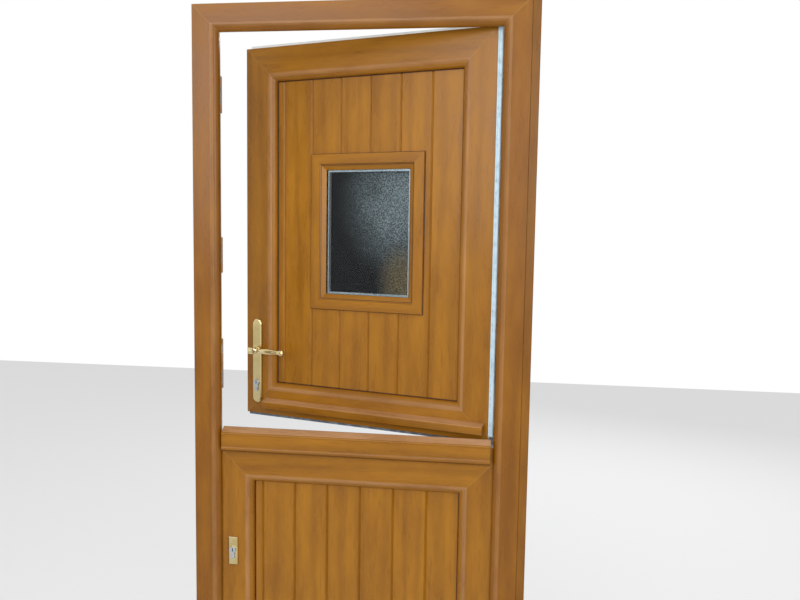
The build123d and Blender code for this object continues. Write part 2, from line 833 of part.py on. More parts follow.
# Hooks: each hangs on a pin in its steel box, swings out through the faceplate and lifts behind the keep
hook_pivot_x = hook_pivot_depth - half_leaf
with BuildPart() as hook_cases:
    for level in hook_levels.values():
        front = groove_depth - half_leaf
        half_case = case_width / 2
        bottom = level - hook_case_height / 2
        block(
            front, front + hook_case_depth, groove_centre - half_case, groove_centre + half_case,
            bottom, bottom + hook_case_height,
        )
        block(
            front - overrun, front + hook_case_depth - case_wall, groove_centre - half_case + case_wall,
            groove_centre + half_case - case_wall, bottom + case_wall,
            bottom + hook_case_height - case_wall, mode=Mode.SUBTRACT,
        )
        with Locations(Location((hook_pivot_x, groove_centre, level + hook_pivot_rise), (90, 0, 0))):
            Cylinder(hook_pin_radius, case_width - case_wall)
write_piece(hook_cases.part, "hook_cases", rest_angle)

for hook_name, level in hook_levels.items():
    pivot = level + hook_pivot_rise
    half_hook = hook_width / 2
    with BuildPart() as hook:
        with BuildSketch(depth_plane(hook_pivot_x, groove_centre + hook_thickness / 2, pivot)):
            with BuildLine():
                Polyline(
                    (half_hook, 0), (half_hook, 6 - hook_length), (half_hook - 4, -hook_length),
                    (-half_hook - hook_beak, -hook_length), (-half_hook - hook_beak, 4.5 - hook_length),
                    (-half_hook, 9 - hook_length), (-half_hook, 0),
                )
                ThreePointArc((-half_hook, 0), (0, half_hook), (half_hook, 0))
            make_face()
        extrude(amount=hook_thickness)
        with Locations(Location((hook_pivot_x, groove_centre, pivot), (90, 0, 0))):
            Cylinder(hook_pin_radius + running_gap, 2 * hook_thickness, mode=Mode.SUBTRACT)
    write_piece(hook.part, hook_name, rest_angle)


def build_keep(bottom, top):
    """Cast keep for the rebate of the lock jamb, with softened edges."""
    half_keep = keep_width / 2
    with BuildPart() as keep:
        block(-half_rebate, keep_face, groove_centre - half_keep, groove_centre + half_keep, bottom, top)
        chamfer(keep.faces().sort_by(Axis.X)[-1].edges(), keep_bevel)
    return keep.part


with BuildPart() as lower_lock_keep:
    half_bolt_keep = lower_bolt_height / 2 + keep_margin
    add(build_keep(lower_bolt_level - half_bolt_keep, lower_bolt_level + half_bolt_keep))
    bolt_slot(lower_bolt_level, lower_bolt_height, dead_bolt_width, keep_gap)
write_piece(lower_lock_keep.part, "lower_lock_keep")

with BuildPart() as upper_lock_keep:
    keep_foot = upper_bolt_level - upper_bolt_height / 2 - keep_margin
    add(build_keep(keep_foot, latch_level + latch_height / 2 + keep_margin))
    bolt_slot(upper_bolt_level, upper_bolt_height, dead_bolt_width, keep_gap)
    bolt_slot(latch_level, latch_height, latch_width, keep_gap)
write_piece(upper_lock_keep.part, "upper_lock_keep")

with BuildPart() as hook_keeps:
    for level in hook_levels.values():
        add(build_keep(level - hook_keep_height / 2, level + hook_keep_height / 2))
        hook_slot(level)
write_piece(hook_keeps.part, "hook_keeps")


def build_cylinder(level, front, back):
    """Lock cylinder body with a bore at each end and a gap in the middle for the cam."""
    half_cam = cam_width / 2 + part_gap
    with BuildPart() as body:
        with BuildSketch(depth_plane(lock_x, back, level)):
            euro_outline()
        extrude(amount=back - front)
        with Locations(Location((lock_x, (front + back) / 2, level), (90, 0, 0))):
            Cylinder(plug_radius + running_gap, back - front + overrun, mode=Mode.SUBTRACT)
        block(
            lock_x - cylinder_radius - overrun, lock_x + cylinder_radius + overrun,
            groove_centre - half_cam, groove_centre + half_cam,
            level - cam_radius - part_gap, level + cylinder_radius + overrun, mode=Mode.SUBTRACT,
        )
    return body.part


def build_plug(level, front, back):
    """Turning part of a cylinder: keyed plug outside, cam in the middle and a thumbturn inside."""
    with BuildPart() as plug:
        with Locations(Location((lock_x, front, level), (-90, 0, 0))):
            Cylinder(plug_radius, back - front + 2 * part_gap, align=(Align.CENTER, Align.CENTER, Align.MIN))
        block(
            lock_x - cam_thickness / 2, lock_x + cam_thickness / 2,
            groove_centre - cam_width / 2, groove_centre + cam_width / 2,
            level - cam_radius + slide_gap, level,
        )
        with BuildSketch(depth_plane(lock_x, back + turn_length, level)):
            SlotOverall(turn_height, turn_width, rotation=90)
        extrude(amount=turn_length - part_gap)
        block(
            lock_x - keyway_width / 2, lock_x + keyway_width / 2, front - overrun, front + keyway_depth,
            level - keyway_height / 2, level + keyway_height / 2, mode=Mode.SUBTRACT,
        )
    return plug.part


# Lower cylinder between its two small escutcheons
lower_front = leaf_front - escutcheon_thickness - cylinder_proud
lower_back = leaf_back + escutcheon_thickness + cylinder_proud
write_piece(build_cylinder(lower_cylinder_level, lower_front, lower_back), "lower_cylinder")
write_piece(build_plug(lower_cylinder_level, lower_front, lower_back), "lower_cylinder_plug")

with BuildPart() as escutcheon:
    with BuildSketch(depth_plane(lock_x, leaf_front, lower_cylinder_level - escutcheon_drop)):
        Rectangle(escutcheon_width, escutcheon_height)
    extrude(amount=escutcheon_thickness)
    chamfer(escutcheon.faces().sort_by(Axis.Y)[0].edges(), escutcheon_bevel)
    add(cylinder_hole(lower_cylinder_level), mode=Mode.SUBTRACT)
write_piece(escutcheon.part, "lower_escutcheon_outside")
escutcheon_inside = escutcheon.part.mirror(Plane.XZ.offset(-leaf_middle))
write_piece(escutcheon_inside, "lower_escutcheon_inside")

# Upper cylinder and the long round-ended handle plates
upper_front = leaf_front - handle_plate_thickness - cylinder_proud
upper_back = leaf_back + handle_plate_thickness + cylinder_proud
write_piece(build_cylinder(upper_cylinder_level, upper_front, upper_back), "upper_cylinder", rest_angle)
write_piece(build_plug(upper_cylinder_level, upper_front, upper_back), "upper_cylinder_plug", rest_angle)

plate_centre = spindle_level + handle_plate_rise - handle_plate_height / 2
with BuildPart() as handle_plate:
    with BuildSketch(depth_plane(lock_x, leaf_front, plate_centre)):
        SlotOverall(handle_plate_height, handle_plate_width, rotation=90)
    extrude(amount=handle_plate_thickness)
    chamfer(handle_plate.faces().sort_by(Axis.Y)[0].edges(), handle_plate_bevel)
    add(cylinder_hole(upper_cylinder_level), mode=Mode.SUBTRACT)
    # Opening for the square spindle to turn in, covered by the neck of the lever
    half_clear = spindle_side / 2 + spindle_clearance
    block(
        lock_x - half_clear, lock_x + half_clear, leaf_front - handle_plate_thickness, leaf_front,
        spindle_level - half_clear, spindle_level + half_clear, mode=Mode.SUBTRACT,
    )
write_piece(handle_plate.part, "handle_plate_outside", rest_angle)
handle_plate_inside = handle_plate.part.mirror(Plane.XZ.offset(-leaf_middle))
write_piece(handle_plate_inside, "handle_plate_inside", rest_angle)

# Lever: a round neck that stands on the plate and a flat bar with rounded ends
neck_end = leaf_front - handle_plate_thickness - neck_reach
with BuildPart() as lever:
    with BuildSketch(depth_plane(lock_x + (lever_length - lever_height / 2) / 2, neck_end, spindle_level)):
        SlotOverall(lever_length + lever_height / 2, lever_height)
    extrude(amount=lever_thickness)
    chamfer(lever.faces().sort_by(Axis.Y)[0].edges(), lever_bevel)
    neck_foot = leaf_front - handle_plate_thickness - part_gap
    with Locations(Location((lock_x, neck_foot, spindle_level), (90, 0, 0))):
        Cylinder(neck_radius, neck_reach, align=(Align.CENTER, Align.CENTER, Align.MIN))
    # Square socket for the spindle
    half_socket = spindle_side / 2 + running_gap
    block(
        lock_x - half_socket, lock_x + half_socket, neck_foot - spindle_socket, neck_foot,
        spindle_level - half_socket, spindle_level + half_socket, mode=Mode.SUBTRACT,
    )
write_piece(lever.part, "lever_outside", rest_angle)
lever_inside = lever.part.mirror(Plane.XZ.offset(-leaf_middle))
write_piece(lever_inside, "lever_inside", rest_angle)

with BuildPart() as spindle:
    half_spindle = leaf_depth / 2 + handle_plate_thickness + spindle_socket
    with Locations((lock_x, leaf_middle, spindle_level)):
        Box(spindle_side, 2 * half_spindle, spindle_side)
    with Locations(Location((lock_x, groove_centre, spindle_level), (90, 0, 0))):
        Cylinder(follower_radius, case_width - 2 * (case_wall + slide_gap))
write_piece(spindle.part, "spindle", rest_angle)

# Stable bolt: a rod with a lug in a barrel on the inside of the upper leaf, and its keep on the lower leaf
stable_bolt_x = stable_bolt_inset - half_leaf
bolt_line_y = leaf_back + stable_bolt_standoff
barrel_half = stable_bolt_radius + stable_bolt_wall
guide_foot = upper_leaf_bottom - stable_guide_drop
barrel_foot = guide_foot + (stable_guide_height - stable_barrel_height) / 2
with BuildPart() as stable_bolt_guide:
    block(
        stable_bolt_x - stable_guide_width / 2, stable_bolt_x + stable_guide_width / 2, leaf_back,
        leaf_back + stable_guide_plate, guide_foot, guide_foot + stable_guide_height,
    )
    block(
        stable_bolt_x - barrel_half, stable_bolt_x + barrel_half, leaf_back, bolt_line_y + barrel_half,
        barrel_foot, barrel_foot + stable_barrel_height,
    )
    with Locations((stable_bolt_x, bolt_line_y, guide_foot + stable_guide_height / 2)):
        Cylinder(stable_bolt_radius + running_gap, stable_guide_height + overrun, mode=Mode.SUBTRACT)
write_piece(stable_bolt_guide.part, "stable_bolt_guide", rest_angle)

bolt_foot = guide_foot - stable_bolt_lead
lug_level = guide_foot + lug_rise
with BuildPart() as stable_bolt:
    with Locations((stable_bolt_x, bolt_line_y, bolt_foot + stable_bolt_length / 2)):
        Cylinder(stable_bolt_radius, stable_bolt_length)
    block(
        stable_bolt_x - lug_width / 2, stable_bolt_x + lug_width / 2, bolt_line_y, bolt_line_y + lug_reach,
        lug_level - lug_width / 2, lug_level + lug_width / 2,
    )
write_piece(stable_bolt.part, "stable_bolt", rest_angle)

keep_foot = lower_leaf_top + stable_keep_rise - stable_keep_height
with BuildPart() as stable_bolt_keep:
    block(
        stable_bolt_x - stable_guide_width / 2, stable_bolt_x + stable_guide_width / 2, leaf_back,
        leaf_back + stable_guide_plate, keep_foot, keep_foot + stable_keep_height,
    )
    block(
        stable_bolt_x - barrel_half, stable_bolt_x + barrel_half, leaf_back, bolt_line_y + barrel_half,
        keep_foot, keep_foot + stable_keep_height,
    )
    with Locations((stable_bolt_x, bolt_line_y, keep_foot + stable_keep_height / 2)):
        Cylinder(stable_bolt_radius + slide_gap, stable_keep_height + overrun, mode=Mode.SUBTRACT)
write_piece(stable_bolt_keep.part, "stable_bolt_keep")
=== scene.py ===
import json
import math

import bmesh
import bpy
from bpy.props import FloatProperty, FloatVectorProperty, PointerProperty, StringProperty
from mathutils import Matrix, Vector


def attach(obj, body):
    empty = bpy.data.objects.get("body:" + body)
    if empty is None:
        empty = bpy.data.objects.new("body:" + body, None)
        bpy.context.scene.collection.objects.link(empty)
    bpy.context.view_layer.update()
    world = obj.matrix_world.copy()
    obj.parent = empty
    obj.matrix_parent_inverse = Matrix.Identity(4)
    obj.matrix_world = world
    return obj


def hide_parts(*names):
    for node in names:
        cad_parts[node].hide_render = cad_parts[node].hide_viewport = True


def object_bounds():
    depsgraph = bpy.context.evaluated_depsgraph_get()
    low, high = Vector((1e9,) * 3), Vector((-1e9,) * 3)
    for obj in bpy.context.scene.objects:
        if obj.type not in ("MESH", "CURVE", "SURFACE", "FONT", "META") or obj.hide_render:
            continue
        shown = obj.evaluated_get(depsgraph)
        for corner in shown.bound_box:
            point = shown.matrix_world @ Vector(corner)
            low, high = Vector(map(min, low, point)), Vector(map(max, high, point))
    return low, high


bl_info = {
    "name": "Stable door",
    "version": (1, 0, 0),
    "blender": (4, 5, 0),
    "location": "3D View > Sidebar > Stable door",
    "description": "Dresses a two-leaf stable door: foiled joinery, a small light, brass furniture and locks",
    "category": "Object",
}

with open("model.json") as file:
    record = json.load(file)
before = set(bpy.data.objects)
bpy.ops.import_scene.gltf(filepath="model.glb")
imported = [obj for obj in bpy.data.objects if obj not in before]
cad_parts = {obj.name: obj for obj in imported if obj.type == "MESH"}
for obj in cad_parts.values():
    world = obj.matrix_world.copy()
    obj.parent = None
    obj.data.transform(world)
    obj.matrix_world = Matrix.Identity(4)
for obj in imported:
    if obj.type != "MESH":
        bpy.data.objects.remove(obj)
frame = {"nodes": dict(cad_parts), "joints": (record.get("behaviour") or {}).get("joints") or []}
cad_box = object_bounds()
NODES = frame["nodes"]
HINGE_JOINT = next(joint for joint in frame["joints"] if joint["name"] == "top_leaf_hinge")

# The upper leaf stands ajar: this turn closes it, and its inverse opens it again
HINGE = Vector(HINGE_JOINT["pos_m"])
LEAF_ANGLE = -math.radians(HINGE_JOINT["range_deg"][0])
CLOSE = Matrix.Translation(HINGE) @ Matrix.Rotation(LEAF_ANGLE, 4, "Z") @ Matrix.Translation(-HINGE)
OPEN = CLOSE.inverted()
STILL = Matrix.Identity(4)

# Each leaf: its name, the turn that shuts it, and its body
LEAVES = (("lower", STILL, "bottom_leaf"), ("upper", CLOSE, "top_leaf"))
# Bodies that stand ajar at rest with the upper leaf
AJAR = ("top_leaf", "handle")

# Points nearer to a plane than this lie on it
TOUCH = 0.0001
# A face whose middle is further than this from an edge doesn't stand on that edge
EDGE = 0.001
# Places of the foil, the bare white profile and the shaded foil in a node's list of materials
FOILED, BARE, SHADED = 0, 1, 2

# Colours that the foil tends to on a cleaned weld, in painted shadow, and in a painted sheen of the sky's
# reflection
WELD, SHADOW, PAINTED_SHEEN = "#C9A468", "#2E1B0A", "#D9AE8C"

# A rolled edge starts this far out on its flat and stands this proud of it, too little to see
ARRIS_LEAD = 0.002
ARRIS_SKIN = 0.00004

# Beads on the front of the meeting rail: how far the centre lies behind and below its corner, and half of
# the bead's depth and height
NOSE_BEAD = (0.0056, 0.0062, 0.0084, 0.0078)
TOP_BEAD = (0.0018, 0.0012, 0.0032, 0.0032)
# They end this far inside the end caps
BEAD_END = 0.0004

# The hinge edge flap: how far it reaches out, how far behind the sash's face it sits, and where it ends
FLAP_REACH = 0.0112
FLAP_BACK = 0.004
FLAP_FOOT = {"lower": 0.012, "upper": 0.032}
FLAP_HEAD = 0.022
# Its section: a web with two ribs, as points of how far out and how far back each one lies
FLAP_RIBS = (
    (-0.0004, 0.0), (0.0, -0.0012), (0.0026, -0.0012), (0.003, 0.0009), (0.0042, 0.0009), (0.0046, -0.0012),
    (FLAP_REACH - 0.0014, -0.0012), (FLAP_REACH, 0.0), (FLAP_REACH - 0.001, 0.0016), (0.0, 0.0022),
)

# The cast lever: share of its length, half depth, half height, squareness, and bow towards the leaf
LEVER_STATIONS = (
    (-0.085, 0.0054, 0.007, 4.5, 0.0), (-0.078, 0.0068, 0.0084, 5.0, 0.0),
    (-0.06, 0.0074, 0.0089, 5.0, 0.0), (0.07, 0.0074, 0.0089, 5.0, 0.0),
    (0.105, 0.0068, 0.0082, 4.0, 0.0), (0.15, 0.005, 0.0056, 3.0, 0.0002),
    (0.2, 0.0042, 0.0044, 2.4, 0.0006), (0.27, 0.0048, 0.0052, 2.2, 0.0012),
    (0.36, 0.0062, 0.0072, 2.1, 0.0018), (0.45, 0.007, 0.0082, 2.0, 0.0021),
    (0.55, 0.007, 0.0081, 2.0, 0.0019), (0.65, 0.006, 0.0068, 2.0, 0.0013),
    (0.74, 0.005, 0.0055, 2.0, 0.0008), (0.8, 0.005, 0.0054, 2.0, 0.0006),
    (0.86, 0.0064, 0.0071, 2.0, 0.0002), (0.91, 0.0076, 0.0085, 2.0, 0.0),
    (0.95, 0.0078, 0.0088, 2.0, 0.0), (0.978, 0.0066, 0.0075, 2.0, 0.0),
    (0.994, 0.004, 0.0046, 2.0, 0.0), (1.0, 0.0012, 0.0014, 2.0, 0.0),
)
# Its neck: how far each ring stands off the plate, and its radius
LEVER_NECK = (
    (0.0003, 0.0098), (0.0022, 0.0098), (0.0034, 0.0086), (0.006, 0.0074), (0.012, 0.007), (0.02, 0.007),
)
# From the plate to the middle of the grip
LEVER_REACH = 0.0235

# The leaf plate of a hinge arm: its height, and how far its face stands off the sash
ARM_HEIGHT = 0.090
ARM_RISE = 0.005


def linear(code):
    """Linear colour with alpha from an sRGB hex code such as #96622B."""
    channels = [int(code[place:place + 2], 16) / 255 for place in (1, 3, 5)]
    return [c / 12.92 if c <= 0.04045 else ((c + 0.055) / 1.055) ** 2.4 for c in channels] + [1.0]


def closed_points(name, turn=STILL):
    """Points of a node with its leaf turned shut."""
    return [turn @ vertex.co for vertex in NODES[name].data.vertices]


def closed_box(name, turn=STILL):
    """Lowest and highest corners of a node with its leaf turned shut."""
    points = closed_points(name, turn)
    return [Vector([end(point[axis] for point in points) for axis in range(3)]) for end in (min, max)]


def inset_box(box, inset):
    """Rectangle inside a box, moved in by an inset on all four sides."""
    low, high = box
    return (Vector((low.x + inset, low.y, low.z + inset)), Vector((high.x - inset, high.y, high.z - inset)))


def within(place, box, margin):
    """Whether a place, seen from the front, lies inside a box by more than a margin."""
    low, high = inset_box(box, margin)
    return low.x < place.x < high.x and low.z < place.z < high.z


class DoorFoil(bpy.types.PropertyGroup):
    """Golden oak foil and white profile"""

    mid_brown: StringProperty(name="Mid brown", description="Main foil colour, sRGB hex", default="#8A5405")
    light_brown: StringProperty(name="Light brown", description="Colour between the rings", default="#AE7412")
    dark_brown: StringProperty(name="Dark brown", description="Colour of rings and pores", default="#5E3604")
    white: StringProperty(name="White", description="Colour of the unfoiled profile", default="#ECEDEA")
    ring_pitch: FloatProperty(
        name="Ring pitch", description="Distance between the printed growth rings", default=0.048,
        min=0.008, max=0.16, subtype="DISTANCE",
    )
    pore_width: FloatProperty(
        name="Pore width", description="Width of the printed pores", default=0.0016,
        min=0.0005, max=0.01, subtype="DISTANCE",
    )
    weld_width: FloatProperty(
        name="Weld width", description="Width of the cleaned weld at each mitre", default=0.0022,
        min=0.0005, max=0.01, subtype="DISTANCE",
    )
    roll_radius: FloatProperty(
        name="Roll radius", description="Radius on which each flat turns into its moulding", default=0.012,
        min=0.004, max=0.03, subtype="DISTANCE",
    )


class DoorHardware(bpy.types.PropertyGroup):
    """Furniture, locks and their screws"""

    brass: StringProperty(name="Brass", description="Colour of polished brass, sRGB hex", default="#D2C090")
    nickel: StringProperty(name="Nickel", description="Colour of the nickel plate", default="#C3C8CE")
    steel: StringProperty(name="Steel", description="Colour of the zinc plated steel", default="#BCC0C4")
    screw_radius: FloatProperty(
        name="Screw radius", description="Radius of a countersunk head", default=0.004,
        min=0.001, max=0.01, subtype="DISTANCE",
    )
    screw_rise: FloatProperty(
        name="Screw rise", description="How far a raised head stands off its plate", default=0.0008,
        min=0.0, max=0.003, subtype="DISTANCE",
    )


class DoorLight(bpy.types.PropertyGroup):
    """The small light in the upper leaf"""

    smoke: StringProperty(name="Smoke", description="Tint of the obscured glass, sRGB hex", default="#2B2E30")
    glint: StringProperty(name="Glint", description="Tint where its bumps catch light", default="#BCD2D8")
    warm_glint: StringProperty(name="Warm glint", description="Tint of a lit wall behind", default="#A8976A")
    stipple: FloatProperty(
        name="Stipple", description="Distance between the bumps of the obscured glass", default=0.0034,
        min=0.002, max=0.03, subtype="DISTANCE",
    )
    gasket_width: FloatProperty(
        name="Gasket width", description="Width of the gasket round the light's surround", default=0.0026,
        min=0.001, max=0.01, subtype="DISTANCE",
    )


class DoorStage(bpy.types.PropertyGroup):
    """Camera, lamps and floor"""

    camera_place: FloatVectorProperty(
        name="Camera", description="Where the camera stands", default=(0.360, -1.8158, 1.516),
        subtype="TRANSLATION", unit="LENGTH",
    )
    camera_turn: FloatVectorProperty(
        name="Camera turn", description="How far it tilts down, leans to its left and turns to its left",
        default=[math.radians(angle) for angle in (5.118, 0.889, 7.751)], subtype="EULER", unit="ROTATION",
    )
    lens: FloatProperty(name="Lens", description="Focal length, 36 mm sensor", default=34.2, unit="CAMERA")
    ambient: FloatProperty(name="Ambient", description="Strength of the light from all round", default=0.44)
    key: FloatProperty(name="Key", description="Power the lamps take shares of", default=46.0, unit="POWER")
    floor: StringProperty(name="Floor", description="Colour of the floor and the backdrop", default="#E6E7E8")


# Materials


def add_node(tree, kind, inputs=None, **settings):
    """Add a node to a tree, with its settings, and give each input a link or a value."""
    made = tree.nodes.new(kind)
    for name, value in settings.items():
        setattr(made, name, value)
    for socket, value in (inputs or {}).items():
        if isinstance(value, bpy.types.NodeSocket):
            tree.links.new(value, made.inputs[socket])
        else:
            made.inputs[socket].default_value = value
    return made


def calc(tree, operation, *values, **settings):
    """Output of a math node. Each value is a link or a number."""
    inputs = dict(enumerate(values))
    return add_node(tree, "ShaderNodeMath", inputs, operation=operation, **settings).outputs[0]


def spread(tree, value, run=(0.0, 1.0), to=(0.0, 1.0), **settings):
    """Output of a map range node, which spreads one run of a value over another."""
    return add_node(tree, "ShaderNodeMapRange", {
        "Value": value, "From Min": run[0], "From Max": run[1], "To Min": to[0], "To Max": to[1],
    }, **settings).outputs[0]


def mix(tree, factor, *colours):
    """Output of a node that mixes two colours, each a link or an sRGB hex code."""
    first, second = (linear(colour) if isinstance(colour, str) else colour for colour in colours)
    return add_node(tree, "ShaderNodeMix", {
        "Factor": factor, "A": first, "B": second,
    }, data_type="RGBA").outputs["Result"]


def noise(tree, place, scale, detail, roughness=0.5):
    """Output of a noise texture, whose scale says how many of its patches lie in a metre."""
    return add_node(tree, "ShaderNodeTexNoise", {
        "Vector": place, "Scale": scale, "Detail": detail, "Roughness": roughness,
    }).outputs["Fac"]


def object_place(tree, turn=STILL, scale=(1, 1, 1)):
    """Object coordinates in metres, with the leaf turned shut and stretched where a scale is given."""
    return add_node(tree, "ShaderNodeMapping", {
        "Vector": add_node(tree, "ShaderNodeTexCoord").outputs["Object"],
        "Location": turn.to_translation(), "Rotation": turn.to_euler(), "Scale": scale,
    }).outputs[0]


def start_material(name, **values):
    """Material with a fresh Principled shader whose constant sockets are set by name."""
    material = bpy.data.materials.new(name)
    material.use_nodes = True
    tree = material.node_tree
    shader = tree.nodes["Principled BSDF"]
    for socket, value in values.items():
        shader.inputs[socket.replace("_", " ")].default_value = value
    return material, tree, shader


def join(tree, output, shader, socket):
    """Link an output to a socket of the shader."""
    tree.links.new(output, shader.inputs[socket])


def emboss(tree, shader, height, strength, distance, **inputs):
    """Give the shader the relief of a height pattern."""
    relief = add_node(tree, "ShaderNodeBump", {
        "Height": height, "Strength": strength, "Distance": distance, **inputs,
    })
    join(tree, relief.outputs[0], shader, "Normal")


def follow_mitres(tree, level, upright, box, weld_width):
    """Coordinates along and across the members of a mitred ring, and a mask of its welds."""
    low, high = box
    middle = (low.x + high.x) / 2
    side = calc(tree, "ABSOLUTE", calc(tree, "SUBTRACT", level, middle))
    from_side = calc(tree, "SUBTRACT", high.x - middle, side)
    from_foot = calc(tree, "SUBTRACT", upright, low.z)
    from_head = calc(tree, "SUBTRACT", high.z, upright)
    from_end = calc(tree, "MINIMUM", from_foot, from_head)
    on_rail = calc(tree, "LESS_THAN", from_end, from_side)
    # Half a width square to a mitre is 0.7 of that width, measured along a member
    off_mitre = calc(tree, "ABSOLUTE", calc(tree, "SUBTRACT", from_end, from_side))
    weld = calc(tree, "LESS_THAN", off_mitre, weld_width * 0.7)

    def pick(standing, lying):
        """One coordinate on the members that stand and the other on those that lie."""
        inputs = {"Factor": on_rail, "A": standing, "B": lying}
        return add_node(tree, "ShaderNodeMix", inputs, data_type="FLOAT").outputs[0]

    return pick(upright, level), pick(level, upright), weld


def foil(
    part, box=None, lie="upright", turn=STILL, boards=None, shade=1.0, lift=0.0, welded=True, painted_sheen=0.0,
):
    """Golden oak foil, calendered and printed, wrapped hot on extruded PVC.

    The print gives soft brown rings and short dark pores along each member. The embossed film gives a
    satin sheen. A box gives the outer edges of a mitred ring, whose members each run along their length.
    Boards give the pitch of the boards and where the first starts. Lift moves the print towards its light
    brown, as on the boards. Shade mixes in a painted shadow colour. Painted sheen mixes in a paler colour
    that paints in the sky's reflection, as a painted highlight.
    """
    settings = bpy.context.scene.door_foil
    material, tree, shader = start_material(
        f"golden_oak_foil_{part}", Roughness=0.3, IOR=1.5, Specular_IOR_Level=0.35,
    )
    level, depth, upright = add_node(tree, "ShaderNodeSeparateXYZ", {0: object_place(tree, turn)}).outputs
    weld = None
    if box:
        along, across, weld = follow_mitres(tree, level, upright, box, settings.weld_width)
    else:
        along, across = (upright, level) if lie == "upright" else (level, upright)
    if boards:
        # Each board is cut from another length of the print, up to 5 m further on
        pitch, first = boards
        count = calc(tree, "FLOOR", calc(tree, "DIVIDE", calc(tree, "SUBTRACT", across, first), pitch))
        draw = add_node(tree, "ShaderNodeTexWhiteNoise", {"W": count}, noise_dimensions="1D").outputs["Value"]
        along = calc(tree, "ADD", along, calc(tree, "MULTIPLY", draw, 5.0))

    def grain(stretch):
        """Coordinates with the grain drawn out along the member."""
        slow = calc(tree, "MULTIPLY", along, 1 / stretch)
        return add_node(tree, "ShaderNodeCombineXYZ", {0: across, 1: depth, 2: slow}).outputs[0]

    # Clouds of about 50 mm, four times as long
    clouds = noise(tree, grain(4.0), 1 / 0.05, detail=4.0, roughness=0.6)
    # A wave texture of scale 1 has about 3.15 rings in a metre
    rings = add_node(tree, "ShaderNodeTexWave", {
        "Vector": grain(9.0), "Scale": 1 / (3.15 * settings.ring_pitch), "Distortion": 9.0, "Detail": 3.0,
        "Detail Scale": 0.9, "Detail Roughness": 0.55,
    }, wave_type="BANDS", bands_direction="X").outputs["Fac"]
    # Real pores are 0.3 mm wide: these are drawn as wide as they need to show
    pores = noise(tree, grain(18.0), 0.5 / settings.pore_width, detail=2.0, roughness=0.7)
    tone = spread(tree, clouds, (0.34, 0.68), to=(lift, 0.55 + lift))
    colour = mix(tree, tone, settings.mid_brown, settings.light_brown)
    colour = mix(tree, spread(tree, rings, (0.4, 1.0), to=(0.0, 0.2)), colour, settings.dark_brown)
    colour = mix(tree, spread(tree, pores, (0.54, 0.74), to=(0.0, 0.32)), colour, settings.dark_brown)
    if weld and welded:
        # The cleaned weld is a line on the mitre, a little paler than the foil
        colour = mix(tree, calc(tree, "MULTIPLY", weld, 0.15), colour, WELD)
    if shade != 1.0:
        colour = mix(tree, 1 - shade, colour, SHADOW)
    # Painted sheen: a paler colour in cloudy patches paints the sky's reflection on faces that look up and on
    # arrises
    if painted_sheen:
        sheen_share = spread(tree, clouds, (0.3, 0.7), to=(painted_sheen * 0.5, painted_sheen * 1.25))
        colour = mix(tree, sheen_share, colour, PAINTED_SHEEN)
    join(tree, colour, shader, "Base Color")
    join(tree, spread(tree, clouds, (0.3, 0.7), to=(0.24, 0.36)), shader, "Roughness")
    # The foil turns over every arris on a radius of 2 mm, which draws a fine highlight along it
    arris = add_node(tree, "ShaderNodeBevel", {"Radius": 0.002}, samples=4)
    emboss(tree, shader, pores, strength=0.3, distance=0.0002, Normal=arris.outputs[0])
    return material


def white_profile():
    """White PVC, extruded and left bare indoors and in the rebates: a satin skin with faint die lines."""
    material, tree, shader = start_material("white_pvc_extruded", Roughness=0.32, IOR=1.5)
    place = object_place(tree)
    soil = spread(tree, noise(tree, place, 3.0, detail=6.0), (0.4, 0.8), to=(0.0, 0.35))
    colour = mix(tree, soil, bpy.context.scene.door_foil.white, "#D9D7CE")
    join(tree, colour, shader, "Base Color")
    # Real die lines are finer than 1 mm: these ripples are drawn 4 mm wide
    emboss(tree, shader, noise(tree, place, 260.0, detail=1.0), strength=0.12, distance=0.0002)
    return material


def metal(name, colours, rough, scale, grain=(1, 1, 1)):
    """Metal with patches where its finish is duller. A grain draws them out into lines.

    Colours and rough each give the bright value and then the dull one. Scale is patches a metre.
    """
    material, tree, shader = start_material(name, Metallic=1.0)
    patches = noise(tree, object_place(tree, scale=grain), scale, detail=4.0, roughness=0.6)
    tone = spread(tree, patches, (0.42, 0.68))
    join(tree, mix(tree, tone, *colours), shader, "Base Color")
    join(tree, spread(tree, tone, to=rough), shader, "Roughness")
    emboss(tree, shader, patches, strength=0.15, distance=0.0001)
    return material


def matt_skin(name, colour, bloom):
    """Matt extruded TPE or film, as dull as a pencil rubber, with a bloom in patches of about 20 mm."""
    material, tree, shader = start_material(name, Roughness=0.62, IOR=1.5)
    patches = spread(tree, noise(tree, object_place(tree), 60.0, detail=4.0), (0.45, 0.7))
    join(tree, mix(tree, patches, colour, bloom), shader, "Base Color")
    return material


def powder_coat():
    """White polyester powder, sprayed and baked on the cast hinges: an even gloss with a fine orange peel."""
    material, tree, shader = start_material(
        "white_powder_coat", Base_Color=linear("#E9E9E5"), Roughness=0.3, IOR=1.5,
    )
    # Orange peel has waves of about 2 mm
    peel = noise(tree, object_place(tree), 1 / 0.002, detail=1.0)
    emboss(tree, shader, peel, strength=0.2, distance=0.0002)
    return material


def clear_glass():
    """Float glass, clear: it shows as a faint reflection that grows towards grazing angles."""
    material, tree, shader = start_material(
        "clear_float_glass", Base_Color=linear("#0E1214"), Roughness=0.03, IOR=1.52,
    )
    # Rain marks of about 40 mm across dull it a little
    marks = noise(tree, object_place(tree), 25.0, detail=3.0)
    join(tree, spread(tree, marks, to=(0.01, 0.06)), shader, "Roughness")
    angle = add_node(tree, "ShaderNodeFresnel", {"IOR": 1.52}).outputs[0]
    join(tree, spread(tree, angle, (0.04, 0.7), to=(0.1, 0.9)), shader, "Alpha")
    return material


